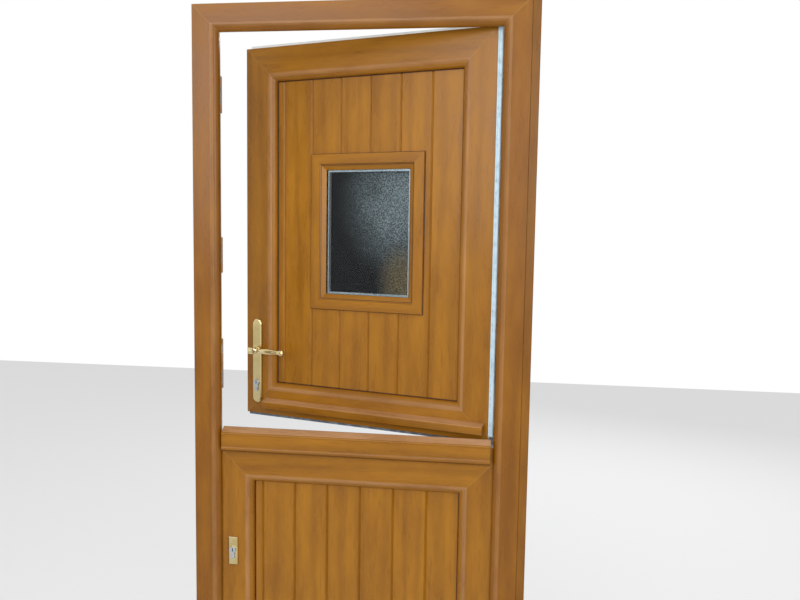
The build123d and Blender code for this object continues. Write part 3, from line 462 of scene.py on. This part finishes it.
def obscured_glass():
    """Rolled obscured glass: one face is pressed with small bumps that glint and break up what is behind.

    The room behind is dark in daylight. No room is part of the door, so the glass holds that as a smoke tint.
    """
    settings = bpy.context.scene.door_light
    material, tree, shader = start_material(
        "obscured_glass_smoke", Roughness=0.3, IOR=1.52, Transmission_Weight=0.04, Specular_IOR_Level=0.08,
    )
    place = object_place(tree, CLOSE)
    low, high = closed_box("inner_pane", CLOSE)
    level, _, upright = add_node(tree, "ShaderNodeSeparateXYZ", {0: place}).outputs
    across = spread(tree, level, (low.x, high.x))
    up = spread(tree, upright, (low.z, high.z))
    spot = add_node(tree, "ShaderNodeCombineXYZ", {0: across, 1: up}).outputs[0]

    def glow(centre, fade, most):
        """Soft patch of light behind the pane. Its centre and radii are shares of the pane's sides."""
        away = add_node(
            tree, "ShaderNodeVectorMath", {0: spot, 1: (*centre, 0.0)}, operation="DISTANCE"
        ).outputs["Value"]
        return spread(tree, away, fade, to=(0.0, most), interpolation_type="SMOOTHSTEP")

    # Bumps of about 3 mm
    cells = add_node(tree, "ShaderNodeTexVoronoi", {
        "Vector": place, "Scale": 1 / settings.stipple, "Smoothness": 0.4, "Randomness": 1.0,
    }, feature="SMOOTH_F1").outputs["Distance"]
    speck = spread(tree, cells, (0.25, 0.7))
    broken = calc(tree, "MULTIPLY_ADD", speck, 1.1, 0.12)
    # Grey daylight shows through the upper right of the pane, and a lit wall through the foot of that side
    drift = calc(tree, "MULTIPLY_ADD", noise(tree, place, 14.0, detail=4.0, roughness=0.6), 1.1, 0.25)
    window = calc(tree, "MULTIPLY", glow((0.72, 0.74), (0.62, 0.0), most=1.0), drift)
    window = calc(tree, "MULTIPLY", window, broken)
    side = calc(tree, "MULTIPLY", spread(tree, across, (0.55, 1.0), to=(0.0, 0.4)), speck)
    lit = calc(tree, "ADD", window, side, use_clamp=True)
    colour = mix(tree, lit, settings.smoke, settings.glint)
    wall = calc(tree, "MULTIPLY", glow((0.86, 0.16), (0.32, 0.05), most=0.8), broken)
    join(tree, mix(tree, wall, colour, settings.warm_glint), shader, "Base Color")
    emboss(tree, shader, cells, strength=0.5, distance=0.0006)
    return material


# Shapes


def new_piece(name, mesh, body, material, smooth=30.0):
    """Put a bmesh in the scene as a piece that rides on a body. Drawn shut, it stands as its leaf does."""
    data = bpy.data.meshes.new(name)
    bmesh.ops.recalc_face_normals(mesh, faces=mesh.faces)
    mesh.to_mesh(data)
    mesh.free()
    data.transform(OPEN if body in AJAR else STILL)
    data.polygons.foreach_set("use_smooth", [True] * len(data.polygons))
    data.set_sharp_from_angle(angle=math.radians(smooth))
    piece = bpy.data.objects.new(name, data)
    bpy.context.collection.objects.link(piece)
    data.materials.append(material)
    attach(piece, body)
    return piece


def turns(count):
    """Evenly spaced angles of a whole turn."""
    return [2 * math.pi * number / count for number in range(count)]


def neighbours(loop):
    """Each point of a closed loop with the one that follows it."""
    return list(zip(loop, [*loop[1:], loop[0]]))


def band(mesh, first, second):
    """Join two loops of as many points with a closed band of faces."""
    for (start, end), (far_start, far_end) in zip(neighbours(first), neighbours(second)):
        mesh.faces.new((start, end, far_end, far_start))


def loft(mesh, loops):
    """Join each loop to the next with a band of faces, and close both ends."""
    for first, second in zip(loops, loops[1:]):
        band(mesh, first, second)
    mesh.faces.new(loops[0])
    mesh.faces.new(loops[-1])


def closed_edges(mesh, loop):
    """Edges round a loop, made where there are none yet."""
    return [mesh.edges.get(pair) or mesh.edges.new(pair) for pair in neighbours(loop)]


def add_screw(mesh, place, outward, radius, rise):
    """Add a raised countersunk head with a cross recess, on a face that looks outward."""
    turn = Matrix.Translation(place) @ outward.to_track_quat("Z", "Y").to_matrix().to_4x4()
    rim, crown = [], []
    for angle in turns(24):
        around = Vector((math.cos(angle), math.sin(angle), 0))
        rim.append(mesh.verts.new(turn @ (around * radius)))
        crown.append(mesh.verts.new(turn @ (around * radius * 0.82 + Vector((0, 0, rise)))))
    # The recess is a cross: each quarter gives the end of one arm and the corner beside it
    arm, waist = radius * 0.52, radius * 0.14
    cross, floor = [], []
    for quarter in range(4):
        spin = Matrix.Rotation(quarter * math.pi / 2, 4, "Z")
        for x, y in ((arm, -waist), (arm, waist), (waist, waist)):
            cross.append(mesh.verts.new(turn @ (spin @ Vector((x, y, rise)))))
            floor.append(mesh.verts.new(turn @ (spin @ Vector((x, y, -rise)))))
    band(mesh, rim, crown)
    edges = closed_edges(mesh, crown) + closed_edges(mesh, cross)
    bmesh.ops.triangle_fill(mesh, edges=edges, use_beauty=True)
    band(mesh, cross, floor)
    mesh.faces.new(floor)


def screw_piece(name, places, outward, body, material):
    """Make one piece of the screws at the given places, which all face the same way."""
    settings = bpy.context.scene.door_hardware
    mesh = bmesh.new()
    for place in places:
        add_screw(mesh, Vector(place), Vector(outward), settings.screw_radius, settings.screw_rise)
    return new_piece(name, mesh, body, material)


def half_round(width, depth):
    """Section of a half-round strip, as points of how far in and how far back each one lies."""
    steps = 10
    angles = [math.pi * step / steps for step in range(steps + 1)]
    return [(width / 2 * (1 - math.cos(angle)), -depth * math.sin(angle)) for angle in angles]


def rolled_edge(radius):
    """Section of foil that rolls off a flat on an arc and runs into the moulding behind it."""
    steps = 8
    sweep = math.radians(50)
    angles = [sweep * step / steps for step in range(steps + 1)]
    arc = [
        (ARRIS_LEAD + radius * math.sin(angle), radius * (1 - math.cos(angle)) - ARRIS_SKIN)
        for angle in angles
    ]
    return [(0.0, ARRIS_LEAD), (0.0, -ARRIS_SKIN), *arc, (arc[-1][0], arc[-1][1] + ARRIS_LEAD)]


def ring_strip(name, box, face_y, section, body, material, foot=True):
    """Make a mitred strip of the given section that follows a rectangle, its outer edge on the box.

    Without a foot it runs up one side, across the head and down the other side, and is cut off level.
    """
    low, high = box
    rise = 1 if foot else 0
    corners = (
        (low.x, low.z, 1, rise), (low.x, high.z, 1, -1), (high.x, high.z, -1, -1), (high.x, low.z, -1, rise),
    )
    mesh = bmesh.new()
    loops = [
        [mesh.verts.new((x + side * inset, face_y + back, z + up * inset)) for inset, back in section]
        for x, z, side, up in corners
    ]
    if foot:
        for first, second in neighbours(loops):
            band(mesh, first, second)
    else:
        loft(mesh, loops)
    return new_piece(name, mesh, body, material)


def rail_bead(name, span, corner, bead, material):
    """Make a straight oval bead along X, half sunk in the front of the meeting rail behind a corner."""
    back, down, half_depth, half_height = bead
    y, z = corner[0] + back, corner[1] - down
    mesh = bmesh.new()
    loft(mesh, [
        [
            mesh.verts.new((x, y + half_depth * math.cos(angle), z + half_height * math.sin(angle)))
            for angle in turns(24)
        ]
        for x in span
    ])
    return new_piece(name, mesh, "bottom_leaf", material)


def flat_width(name, turn):
    """Width of a ring's flat outside face, from its edge to where its moulding starts."""
    face = closed_box(name, turn)[0].y
    left = [place.x for place in closed_points(name, turn) if abs(place.y - face) < TOUCH and place.x < 0]
    return max(left) - min(left)


def flap_piece(name, edge_x, face_y, levels, body, material):
    """Make an upright flap seal that stands out from a leaf's edge, with two ribs on its face."""
    mesh = bmesh.new()
    loft(mesh, [
        [mesh.verts.new((edge_x + out, face_y + back, level)) for out, back in FLAP_RIBS] for level in levels
    ])
    return new_piece(name, mesh, body, material)


def sculpt_lever(name, plate_y, outward, hub_x, level, tip_x, material):
    """Make a cast lever: a round neck, a square hub, a slim waist and a grip that swells to a round tip."""
    mesh = bmesh.new()

    def section(centre, half_out, half_up, squareness, along):
        """Ring of points round the lever, from a round to a nearly square outline."""
        ring = []
        for angle in turns(28):
            c, s = math.cos(angle), math.sin(angle)
            u = math.copysign(abs(c) ** (2 / squareness), c) * half_out
            v = math.copysign(abs(s) ** (2 / squareness), s) * half_up
            ring.append(mesh.verts.new(centre + (Vector((0, u, v)) if along else Vector((u, 0, v)))))
        return ring

    length = tip_x - hub_x
    line = plate_y + outward * LEVER_REACH
    loft(mesh, [
        section(Vector((hub_x + share * length, line - outward * bow, level)), deep, high, squareness, True)
        for share, deep, high, squareness, bow in LEVER_STATIONS
    ])
    loft(mesh, [
        section(Vector((hub_x, plate_y + outward * rise, level)), radius, radius * 0.92, 2.0, False)
        for rise, radius in LEVER_NECK
    ])
    return new_piece(name, mesh, "handle", material, smooth=40.0)


def dress(names, *materials, choose=None, turn=STILL):
    """Give CAD nodes their materials. Of several, choose picks one by a face's place and normal."""
    for name in names:
        data = NODES[name].data
        data.materials.clear()
        for material in materials:
            data.materials.append(material)
        for polygon in data.polygons:
            normal = turn.to_3x3() @ polygon.normal
            polygon.material_index = choose(turn @ polygon.center, normal) if choose else 0


# Foiled parts


def foil_frame(white, roll):
    """Foil the outside of the frame and of its extension strip, and add the frame's rolled edge."""
    box = closed_box("outer_frame")
    gasket = closed_box("frame_gasket")[0].y
    # The frame has no member at its foot, so its ring is drawn far past the floor
    ring = (Vector((box[0].x, 0, -10.0)), box[1])

    def choose(place, normal):
        """Foil in front of the gasket and on every face that looks outside. The rebate behind it is bare."""
        looks_outside = normal.y < -0.9 and place.y < gasket / 2
        return FOILED if place.y < gasket - EDGE / 2 or looks_outside else BARE

    dress(["outer_frame"], foil("frame", ring, lift=-0.15), white, choose=choose)
    # The extension's foil is mixed towards the shadow colour: painted shade
    dress(
        ["frame_extension"], foil("extension", shade=0.8), white,
        choose=lambda place, normal: FOILED if normal.y < -0.3 else BARE,
    )
    standing = (Vector((box[0].x, 0, 0)), box[1])
    # The rolled edge takes a little painted sheen: a painted highlight along the arris
    ring_strip(
        "frame_arris", inset_box(standing, flat_width("outer_frame", STILL) - ARRIS_LEAD), box[0].y, roll,
        "frame", foil("frame_arris", ring, painted_sheen=0.12), foot=False,
    )


def foil_sash(white, roll, leaf, turn, body):
    """Foil the outside of a sash and add its rolled edge. Its edges and its flange indoors stay bare."""
    box = closed_box(f"{leaf}_sash", turn)
    seal = closed_box(f"{leaf}_panel_gasket", turn)[0].y
    # The flange indoors reaches past the outside face, whose own edge the lock plate marks
    reach = closed_box(f"{leaf}_lock_faceplate", turn)[0].x - box[0].x
    ring = inset_box(box, reach)
    dress(
        [f"{leaf}_sash"], foil(f"{leaf}_sash", ring, turn=turn, lift=0.3), white, turn=turn,
        choose=lambda place, normal: FOILED if place.y < seal + TOUCH and within(place, ring, EDGE) else BARE,
    )
    # The rolled edge takes painted sheen: a painted highlight along the arris
    ring_strip(
        f"{leaf}_sash_arris", inset_box(ring, flat_width(f"{leaf}_sash", turn) - ARRIS_LEAD), box[0].y, roll,
        body, foil(f"{leaf}_arris", ring, turn=turn, lift=0.2, painted_sheen=0.2),
    )


def foil_panel(white, leaf, turn):
    """Foil the boards of a panel, each with its own print, and the weather bar below them."""
    low, high = closed_box(f"{leaf}_panel", turn)
    middle = (low.y + high.y) / 2
    places = closed_points(f"{leaf}_panel", turn)
    # The grooves between the boards are more than 2 mm deep
    lines = sorted({round(place.x, 4) for place in places if low.y + 0.002 < place.y < middle - 0.002})
    pitch = min(b - a for a, b in zip(lines, lines[1:]))
    look = {"turn": turn, "boards": (pitch, lines[0]), "lift": 0.4}

    def choose(place, normal):
        """White indoors, and outside a shaded foil on the flanks of the grooves."""
        if place.y > middle:
            return BARE
        return SHADED if abs(normal.x) > 0.3 else FOILED

    dress(
        [f"{leaf}_panel"], foil(f"{leaf}_boards", **look), white,
        foil(f"{leaf}_grooves", shade=0.96, **look), turn=turn, choose=choose,
    )
    bar = {"lie": "level", "turn": turn, "lift": 0.2}
    # The bar's top takes a painted sheen where it looks up: the sky's reflection, painted in
    dress(
        [f"{leaf}_weather_bar"], foil(f"{leaf}_bar", **bar),
        foil(f"{leaf}_bar_top", painted_sheen=0.4, **bar),
        choose=lambda place, normal: 1 if normal.z > 0.35 else 0,
    )


def foil_surround():
    """Foil the ring round the light. The step inside its flat band lies in shadow."""
    box = closed_box("light_surround_outside", CLOSE)
    look = {"box": box, "turn": CLOSE, "lift": 0.3, "welded": False}

    def choose(place, normal):
        """Shaded foil on the slopes just behind the face and well inside its outer edges."""
        slope = abs(normal.y) < 0.65 and place.y < box[0].y + 0.0025
        return 1 if slope and within(place, box, 0.01) else 0

    dress(
        ["light_surround_outside"], foil("surround", **look),
        foil("surround_step", shade=0.45, **look), turn=CLOSE, choose=choose,
    )


def foil_rail(white):
    """Foil the meeting rail with its end caps, and add the nose and the soft arris on its front."""
    lower_front = closed_box("lower_sash")[0].y
    look = {"lie": "level", "lift": 0.3}
    rail_foil = foil("meeting_rail", **look)

    def choose(place, normal):
        """White behind the leaf's face, and outside a foil with a painted sky sheen where it looks up."""
        if place.y > lower_front + TOUCH:
            return BARE
        return 2 if normal.z > 0.25 else FOILED

    dress(
        ["meeting_rail", "meeting_rail_end_caps"], rail_foil, white,
        foil("rail_top", painted_sheen=0.5, **look), choose=choose,
    )
    low, high = closed_box("meeting_rail_end_caps")
    front = [place.z for place in closed_points("meeting_rail") if abs(place.y - low.y) < TOUCH]
    span = (low.x + BEAD_END, high.x - BEAD_END)
    nose = rail_bead("meeting_rail_nose", span, (low.y, min(front)), NOSE_BEAD, rail_foil)
    # Painted shade: the underside of the nose is mixed towards the shadow colour, where shade falls under it
    nose.data.materials.append(foil("nose_underside", lie="level", shade=0.4))
    for polygon in nose.data.polygons:
        polygon.material_index = 1 if polygon.normal.z < -0.45 else 0
    rail_bead("meeting_rail_arris", span, (low.y, max(front)), TOP_BEAD, rail_foil)


# Operators


class DOOR_OT_foil_joinery(bpy.types.Operator):
    """Foil the outside of the frame, the sashes, the panels and the bars, and leave the rest white"""

    bl_idname = "door.foil_joinery"
    bl_label = "Foiled joinery"

    def execute(self, context):
        white = white_profile()
        # Every flat rolls into its moulding with no step, as foil wraps over a soft arris
        roll = rolled_edge(context.scene.door_foil.roll_radius)
        foil_frame(white, roll)
        for leaf, turn, body in LEAVES:
            foil_sash(white, roll, leaf, turn, body)
            foil_panel(white, leaf, turn)
        foil_surround()
        foil_rail(white)
        dress(["upper_panel_bead", "lower_panel_bead", "light_surround_inside"], white)
        return {"FINISHED"}


class DOOR_OT_seals(bpy.types.Operator):
    """Give the seals their rubber, and add the lips, the flaps and the lines that show beside them"""

    bl_idname = "door.seals"
    bl_label = "Seals"

    def execute(self, context):
        black = matt_skin("black_tpe_gasket", "#1B1D1F", "#33363A")
        grey = matt_skin("grey_tpe_seal", "#56616D", "#8A97A3")
        dress(["frame_gasket", "upper_panel_gasket", "lower_panel_gasket", "meeting_seal"], black)
        dress(["upper_leaf_seal"], grey)
        # The lip of each panel gasket shows as a dark line where the boards meet the moulding. Its dark brown
        # is partly the rubber's own and partly painted shade, for the shade in that crease
        lip = matt_skin("brown_tpe_lip_and_painted_shade", "#47260F", "#563319")
        for leaf, turn, body in LEAVES:
            sash = closed_box(f"{leaf}_sash", turn)
            face = closed_box(f"{leaf}_panel", turn)[0].y
            # The moulding ends within 2.5 mm of the boards' face, more than 90 mm in from the edge
            sight = min(
                place.x - sash[0].x for place in closed_points(f"{leaf}_sash", turn)
                if place.x > sash[0].x + 0.09 and abs(place.y - face) < 0.0025
            )
            ring_strip(
                f"{leaf}_panel_lip", inset_box(sash, sight - 2 * TOUCH), face + 2 * TOUCH,
                half_round(0.0026, 0.0016), body, lip,
            )
        # A ribbed flap on the hinge edge of each leaf closes the rebate, and shows where the leaf stands
        # ajar. Its pale blue-white is partly the rubber's own and partly a painted sky reflection
        pale = matt_skin("pale_tpe_flap_and_painted_sky", "#D6ECF8", "#BBD2DE")
        for leaf, turn, body in LEAVES:
            low, high = closed_box(f"{leaf}_sash", turn)
            # The hinge edge mirrors the lock edge, which the faceplate marks
            edge = low.x + high.x - closed_box(f"{leaf}_lock_faceplate", turn)[0].x
            levels = (low.z + FLAP_FOOT[leaf], high.z - FLAP_HEAD)
            flap_piece(f"{leaf}_hinge_edge_flap", edge, low.y + FLAP_BACK, levels, body, pale)
        width = context.scene.door_light.gasket_width
        surround = closed_box("light_surround_outside", CLOSE)
        ring_strip(
            "surround_gasket", inset_box(surround, -width * 0.6), closed_box("upper_panel", CLOSE)[0].y,
            half_round(width, width * 0.5), "top_leaf", black,
        )
        # A quirk lies in shadow at the foot of the step inside the surround's flat band
        quirk = matt_skin("shadowed_quirk", "#2A1604", "#3A240C")
        step = closed_box("outer_pane", CLOSE)[0].x - surround[0].x - 0.0005
        ring_strip(
            "surround_quirk", inset_box(surround, step), surround[0].y + 0.0032, half_round(0.0026, 0.0006),
            "top_leaf", quirk,
        )
        return {"FINISHED"}


class DOOR_OT_light(bpy.types.Operator):
    """Glaze the light with clear and obscured glass round a bright spacer bar"""

    bl_idname = "door.light"
    bl_label = "Light"

    def execute(self, context):
        dress(["outer_pane"], clear_glass())
        dress(["inner_pane"], obscured_glass())
        # Bright aluminium, rolled: its face mirrors the white backdrop as a pale line round the glass, and
        # its blue-white tint is a painted sky reflection
        bright = metal("bright_aluminium_spacer", ("#B9CCD4", "#AABFC9"), rough=(0.25, 0.35), scale=40.0)
        # White desiccant film on its sides, matt: it holds the daylight that falls into the unit
        film = matt_skin("white_desiccant_film", "#FFFFFF", "#F2FAFF")
        dress(
            ["spacer_bar"], bright, film, turn=CLOSE,
            choose=lambda place, normal: 0 if abs(normal.y) > 0.7 else 1,
        )
        return {"FINISHED"}


def end_spots(name, margin, turn=STILL):
    """Spots for two screws on a plate's inside face, each by the margin from one of its ends."""
    low, high = closed_box(name, turn)
    centre = (low.x + high.x) / 2
    return [(centre, high.y, low.z + margin), (centre, high.y, high.z - margin)]


class DOOR_OT_furniture(bpy.types.Operator):
    """Polish the handles, the escutcheons and the stable bolt, and plate the cylinders"""

    bl_idname = "door.furniture"
    bl_label = "Brass furniture"

    def execute(self, context):
        colours = context.scene.door_hardware
        # Brass, cast, polished and lacquered: pale gold with a sharp shine, duller where the lacquer has gone
        brass = metal("polished_brass_lacquered", (colours.brass, "#C4B27C"), rough=(0.2, 0.28), scale=24.0)
        dress([
            "handle_plate_outside", "handle_plate_inside", "lever_outside", "lever_inside",
            "lower_escutcheon_outside", "lower_escutcheon_inside", "stable_bolt_guide", "stable_bolt",
            "stable_bolt_keep",
        ], brass)
        # Handled brass stays bright: hands keep the lever polished
        worn = metal("hand_polished_brass", ("#DCC998", "#C9B47C"), rough=(0.1, 0.16), scale=30.0)
        low, high = closed_box("spindle", CLOSE)
        hub_x, level = (low.x + high.x) / 2, (low.z + high.z) / 2
        tip_x = closed_box("lever_outside", CLOSE)[1].x
        for side, outward in (("outside", -1), ("inside", 1)):
            plate = closed_box(f"handle_plate_{side}", CLOSE)
            plate_y = plate[0].y if outward < 0 else plate[1].y
            lever = sculpt_lever(f"lever_{side}_cast", plate_y, outward, hub_x, level, tip_x, worn)
            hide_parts(f"lever_{side}")
        # Nickel plate on machined brass: cool and satin
        nickel = metal("satin_nickel_plate", (colours.nickel, "#A3A8AE"), rough=(0.22, 0.34), scale=200.0)
        dress([
            "upper_cylinder", "lower_cylinder", "upper_cylinder_plug", "lower_cylinder_plug", "latch_bolt",
            "upper_dead_bolt", "lower_dead_bolt",
        ], nickel)
        low, high = closed_box("handle_plate_inside", CLOSE)
        screw_piece(
            "handle_plate_screws", end_spots("handle_plate_inside", (high.x - low.x) * 0.6, CLOSE),
            (0, 1, 0), "top_leaf", brass,
        )
        screw_piece(
            "escutcheon_screws", end_spots("lower_escutcheon_inside", colours.screw_radius * 2),
            (0, 1, 0), "bottom_leaf", brass,
        )
        return {"FINISHED"}


class DOOR_OT_locks(bpy.types.Operator):
    """Plate the lock cases, faceplates, hooks and keeps, and screw them on"""

    bl_idname = "door.locks"
    bl_label = "Locks and keeps"

    def execute(self, context):
        colours = context.scene.door_hardware
        # Pressed steel, zinc plated and passivated: cool grey with a soft mottle
        steel = metal("zinc_plated_steel", (colours.steel, "#A2A7AC"), rough=(0.3, 0.42), scale=120.0)
        dress([
            "upper_lock_case", "lower_lock_case", "upper_lock_faceplate", "lower_lock_faceplate",
            "hook_cases", "hook_upper", "hook_lower", "spindle",
        ], steel)
        # Zinc, cast and tumbled: paler than the pressed parts, with no direction in its sheen
        zinc = metal("tumbled_cast_zinc", ("#F0F2F3", "#DADCDD"), rough=(0.42, 0.55), scale=90.0)
        dress(["lower_lock_keep", "upper_lock_keep", "hook_keeps"], zinc)
        # Every plate has a screw near each end, and the long one of the upper leaf three more between them
        margin = 2 * colours.screw_radius
        between = {"lower": (), "upper": (0.3, 0.58, 0.76)}
        for leaf, turn, body in LEAVES:
            low, high = closed_box(f"{leaf}_lock_faceplate", turn)
            levels = [low.z + margin, high.z - margin]
            levels += [low.z + (high.z - low.z) * share for share in between[leaf]]
            screw_piece(
                f"{leaf}_faceplate_screws", [(low.x, (low.y + high.y) / 2, level) for level in levels],
                (-1, 0, 0), body, steel,
            )
        spots = []
        for name in ("lower_lock_keep", "upper_lock_keep"):
            low, high = closed_box(name)
            spots += [(high.x, (low.y + high.y) / 2, level) for level in (low.z + margin, high.z - margin)]
        screw_piece("keep_screws", spots, (1, 0, 0), "frame", steel)
        return {"FINISHED"}


class DOOR_OT_hinges(bpy.types.Operator):
    """Coat the hinges white and screw their plates to the leaves"""

    bl_idname = "door.hinges"
    bl_label = "Hinges"

    def execute(self, context):
        coat = powder_coat()
        dress(["hinge_bases", "lower_hinge_arms", "upper_hinge_arms"], coat)
        radius = context.scene.door_hardware.screw_radius
        for leaf, turn, body in LEAVES:
            low, high = closed_box(f"{leaf}_hinge_arms", turn)
            face = closed_box(f"{leaf}_sash", turn)[1].y + ARM_RISE
            # Two arms, each with two rows of two screws
            spots = [
                (low.x + across * radius, face, foot + rise * ARM_HEIGHT)
                for foot in (low.z, high.z - ARM_HEIGHT)
                for rise in (0.2, 0.8)
                for across in (2.4, 6.6)
            ]
            screw_piece(f"{leaf}_hinge_screws", spots, (0, 1, 0), body, coat)
        return {"FINISHED"}


class DOOR_OT_threshold(bpy.types.Operator):
    """Finish the threshold in worn mill aluminium"""

    bl_idname = "door.threshold"
    bl_label = "Threshold"

    def execute(self, context):
        # Aluminium, extruded and left as it came from the mill: drawn lines along it, dulled by feet
        dress(["threshold"], metal(
            "mill_aluminium_threshold", ("#C3C5C6", "#A4A6A6"), rough=(0.34, 0.5), scale=160.0,
            grain=(0.04, 1.0, 1.0),
        ))
        return {"FINISHED"}


def seen(tree):
    """Output that is 1 on rays that show a surface to the camera, straight on, mirrored or through glass."""
    path = add_node(tree, "ShaderNodeLightPath").outputs
    mirrored = calc(tree, "MAXIMUM", path["Is Camera Ray"], path["Is Glossy Ray"])
    return calc(tree, "MAXIMUM", mirrored, path["Is Transmission Ray"])


def lay_floor(context, colour):
    """Lay a pale floor, 12 m square."""
    card, tree, shader = start_material("pale_studio_card", Base_Color=linear(colour), Roughness=0.9)
    glow = add_node(tree, "ShaderNodeEmission", {"Color": (1, 1, 1, 1), "Strength": 1.0})
    # Half of what the camera sees is plain white card, and the other half keeps the door's shadow
    mixed = add_node(tree, "ShaderNodeMixShader", {
        0: calc(tree, "MULTIPLY", seen(tree), 0.5), 1: shader.outputs[0], 2: glow.outputs[0],
    })
    tree.links.new(mixed.outputs[0], tree.nodes["Material Output"].inputs["Surface"])
    mesh = bmesh.new()
    mesh.faces.new([mesh.verts.new(place) for place in ((-6, -6, 0), (6, -6, 0), (6, 6, 0), (-6, 6, 0))])
    floor = bpy.data.objects.new("studio_floor", bpy.data.meshes.new("studio_floor"))
    mesh.to_mesh(floor.data)
    mesh.free()
    floor.data.materials.append(card)
    context.collection.objects.link(floor)


def light_world(context, ambient):
    """Light the scene from all round, and show a white backdrop to the camera."""
    world = bpy.data.worlds.new("studio_world")
    context.scene.world = world
    world.use_nodes = True
    tree = world.node_tree
    background = tree.nodes["Background"]
    background.inputs["Color"].default_value = (1, 1, 1, 1)
    join(tree, spread(tree, seen(tree), to=(ambient, 1.0)), background, "Strength")


def hang_lamps(context, key):
    """Hang large soft lamps that all face the middle of the door."""
    middle = Vector((0, 0, (cad_box[0].z + cad_box[1].z) / 2))
    # Name, place, width, and share of the key power
    lamps = (
        ("front_lamp", (-1.1, -3.2, 2.4), 1.8, 0.74), ("side_lamp", (1.5, -3.1, 2.0), 1.6, 0.7),
        ("sky_lamp", (0.2, -1.9, 4.0), 1.4, 0.5), ("back_lamp", (1.2, 3.4, 2.8), 2.6, 1.3),
    )
    for name, place, size, share in lamps:
        light = bpy.data.lights.new(name, "AREA")
        light.shape = "SQUARE"
        light.size = size
        light.energy = key * share
        lamp = bpy.data.objects.new(name, light)
        lamp.location = place
        lamp.rotation_euler = (middle - Vector(place)).to_track_quat("-Z", "Y").to_euler()
        context.collection.objects.link(lamp)


def set_camera(context, settings):
    """Stand the camera where the photo was taken from."""
    pitch, roll, yaw = settings.camera_turn
    forward = Vector((-math.sin(yaw) * math.cos(pitch), math.cos(yaw) * math.cos(pitch), -math.sin(pitch)))
    level = Vector((math.cos(yaw), math.sin(yaw), 0))
    plumb = forward.cross(level)
    right = level * math.cos(roll) - plumb * math.sin(roll)
    down = level * math.sin(roll) + plumb * math.cos(roll)
    turn = Matrix((right, -down, -forward)).transposed()
    camera = bpy.data.objects.new("camera", bpy.data.cameras.new("camera"))
    camera.data.lens = settings.lens
    camera.data.sensor_width = 36.0
    camera.matrix_world = Matrix.Translation(settings.camera_place) @ turn.to_4x4()
    context.collection.objects.link(camera)
    context.scene.camera = camera


class DOOR_OT_stage(bpy.types.Operator):
    """Set the floor, the backdrop, the lamps and the camera"""

    bl_idname = "door.stage"
    bl_label = "Stage"

    def execute(self, context):
        settings = context.scene.door_stage
        lay_floor(context, settings.floor)
        light_world(context, settings.ambient)
        hang_lamps(context, settings.key)
        set_camera(context, settings)
        context.scene.view_settings.view_transform = "Standard"
        return {"FINISHED"}


OPERATORS = (
    DOOR_OT_foil_joinery, DOOR_OT_seals, DOOR_OT_light, DOOR_OT_furniture, DOOR_OT_locks, DOOR_OT_hinges,
    DOOR_OT_threshold, DOOR_OT_stage,
)
GROUPS = {
    "door_foil": DoorFoil, "door_hardware": DoorHardware, "door_light": DoorLight, "door_stage": DoorStage,
}


class DOOR_PT_dressing(bpy.types.Panel):
    """Lists the settings and the steps that dress the door"""

    bl_idname = "DOOR_PT_dressing"
    bl_label = "Stable door"
    bl_space_type = "VIEW_3D"
    bl_region_type = "UI"
    bl_category = "Stable door"

    def draw(self, context):
        for name in GROUPS:
            box = self.layout.box()
            for prop in getattr(context.scene, name).bl_rna.properties:
                if prop.identifier not in ("rna_type", "name"):
                    box.prop(getattr(context.scene, name), prop.identifier)
        for operator in OPERATORS:
            self.layout.operator(operator.bl_idname)


def register():
    """Register the settings, the operators and the panel."""
    for name, group in GROUPS.items():
        bpy.utils.register_class(group)
        setattr(bpy.types.Scene, name, PointerProperty(type=group))
    for part in (*OPERATORS, DOOR_PT_dressing):
        bpy.utils.register_class(part)


def unregister():
    """Take the panel, the operators and the settings away again."""
    for part in (DOOR_PT_dressing, *reversed(OPERATORS)):
        bpy.utils.unregister_class(part)
    for name, group in reversed(GROUPS.items()):
        delattr(bpy.types.Scene, name)
        bpy.utils.unregister_class(group)


def main():
    register()
    for operator in OPERATORS:
        group, name = operator.bl_idname.split(".")
        getattr(getattr(bpy.ops, group), name)()


if __name__ == "__main__":
    main()
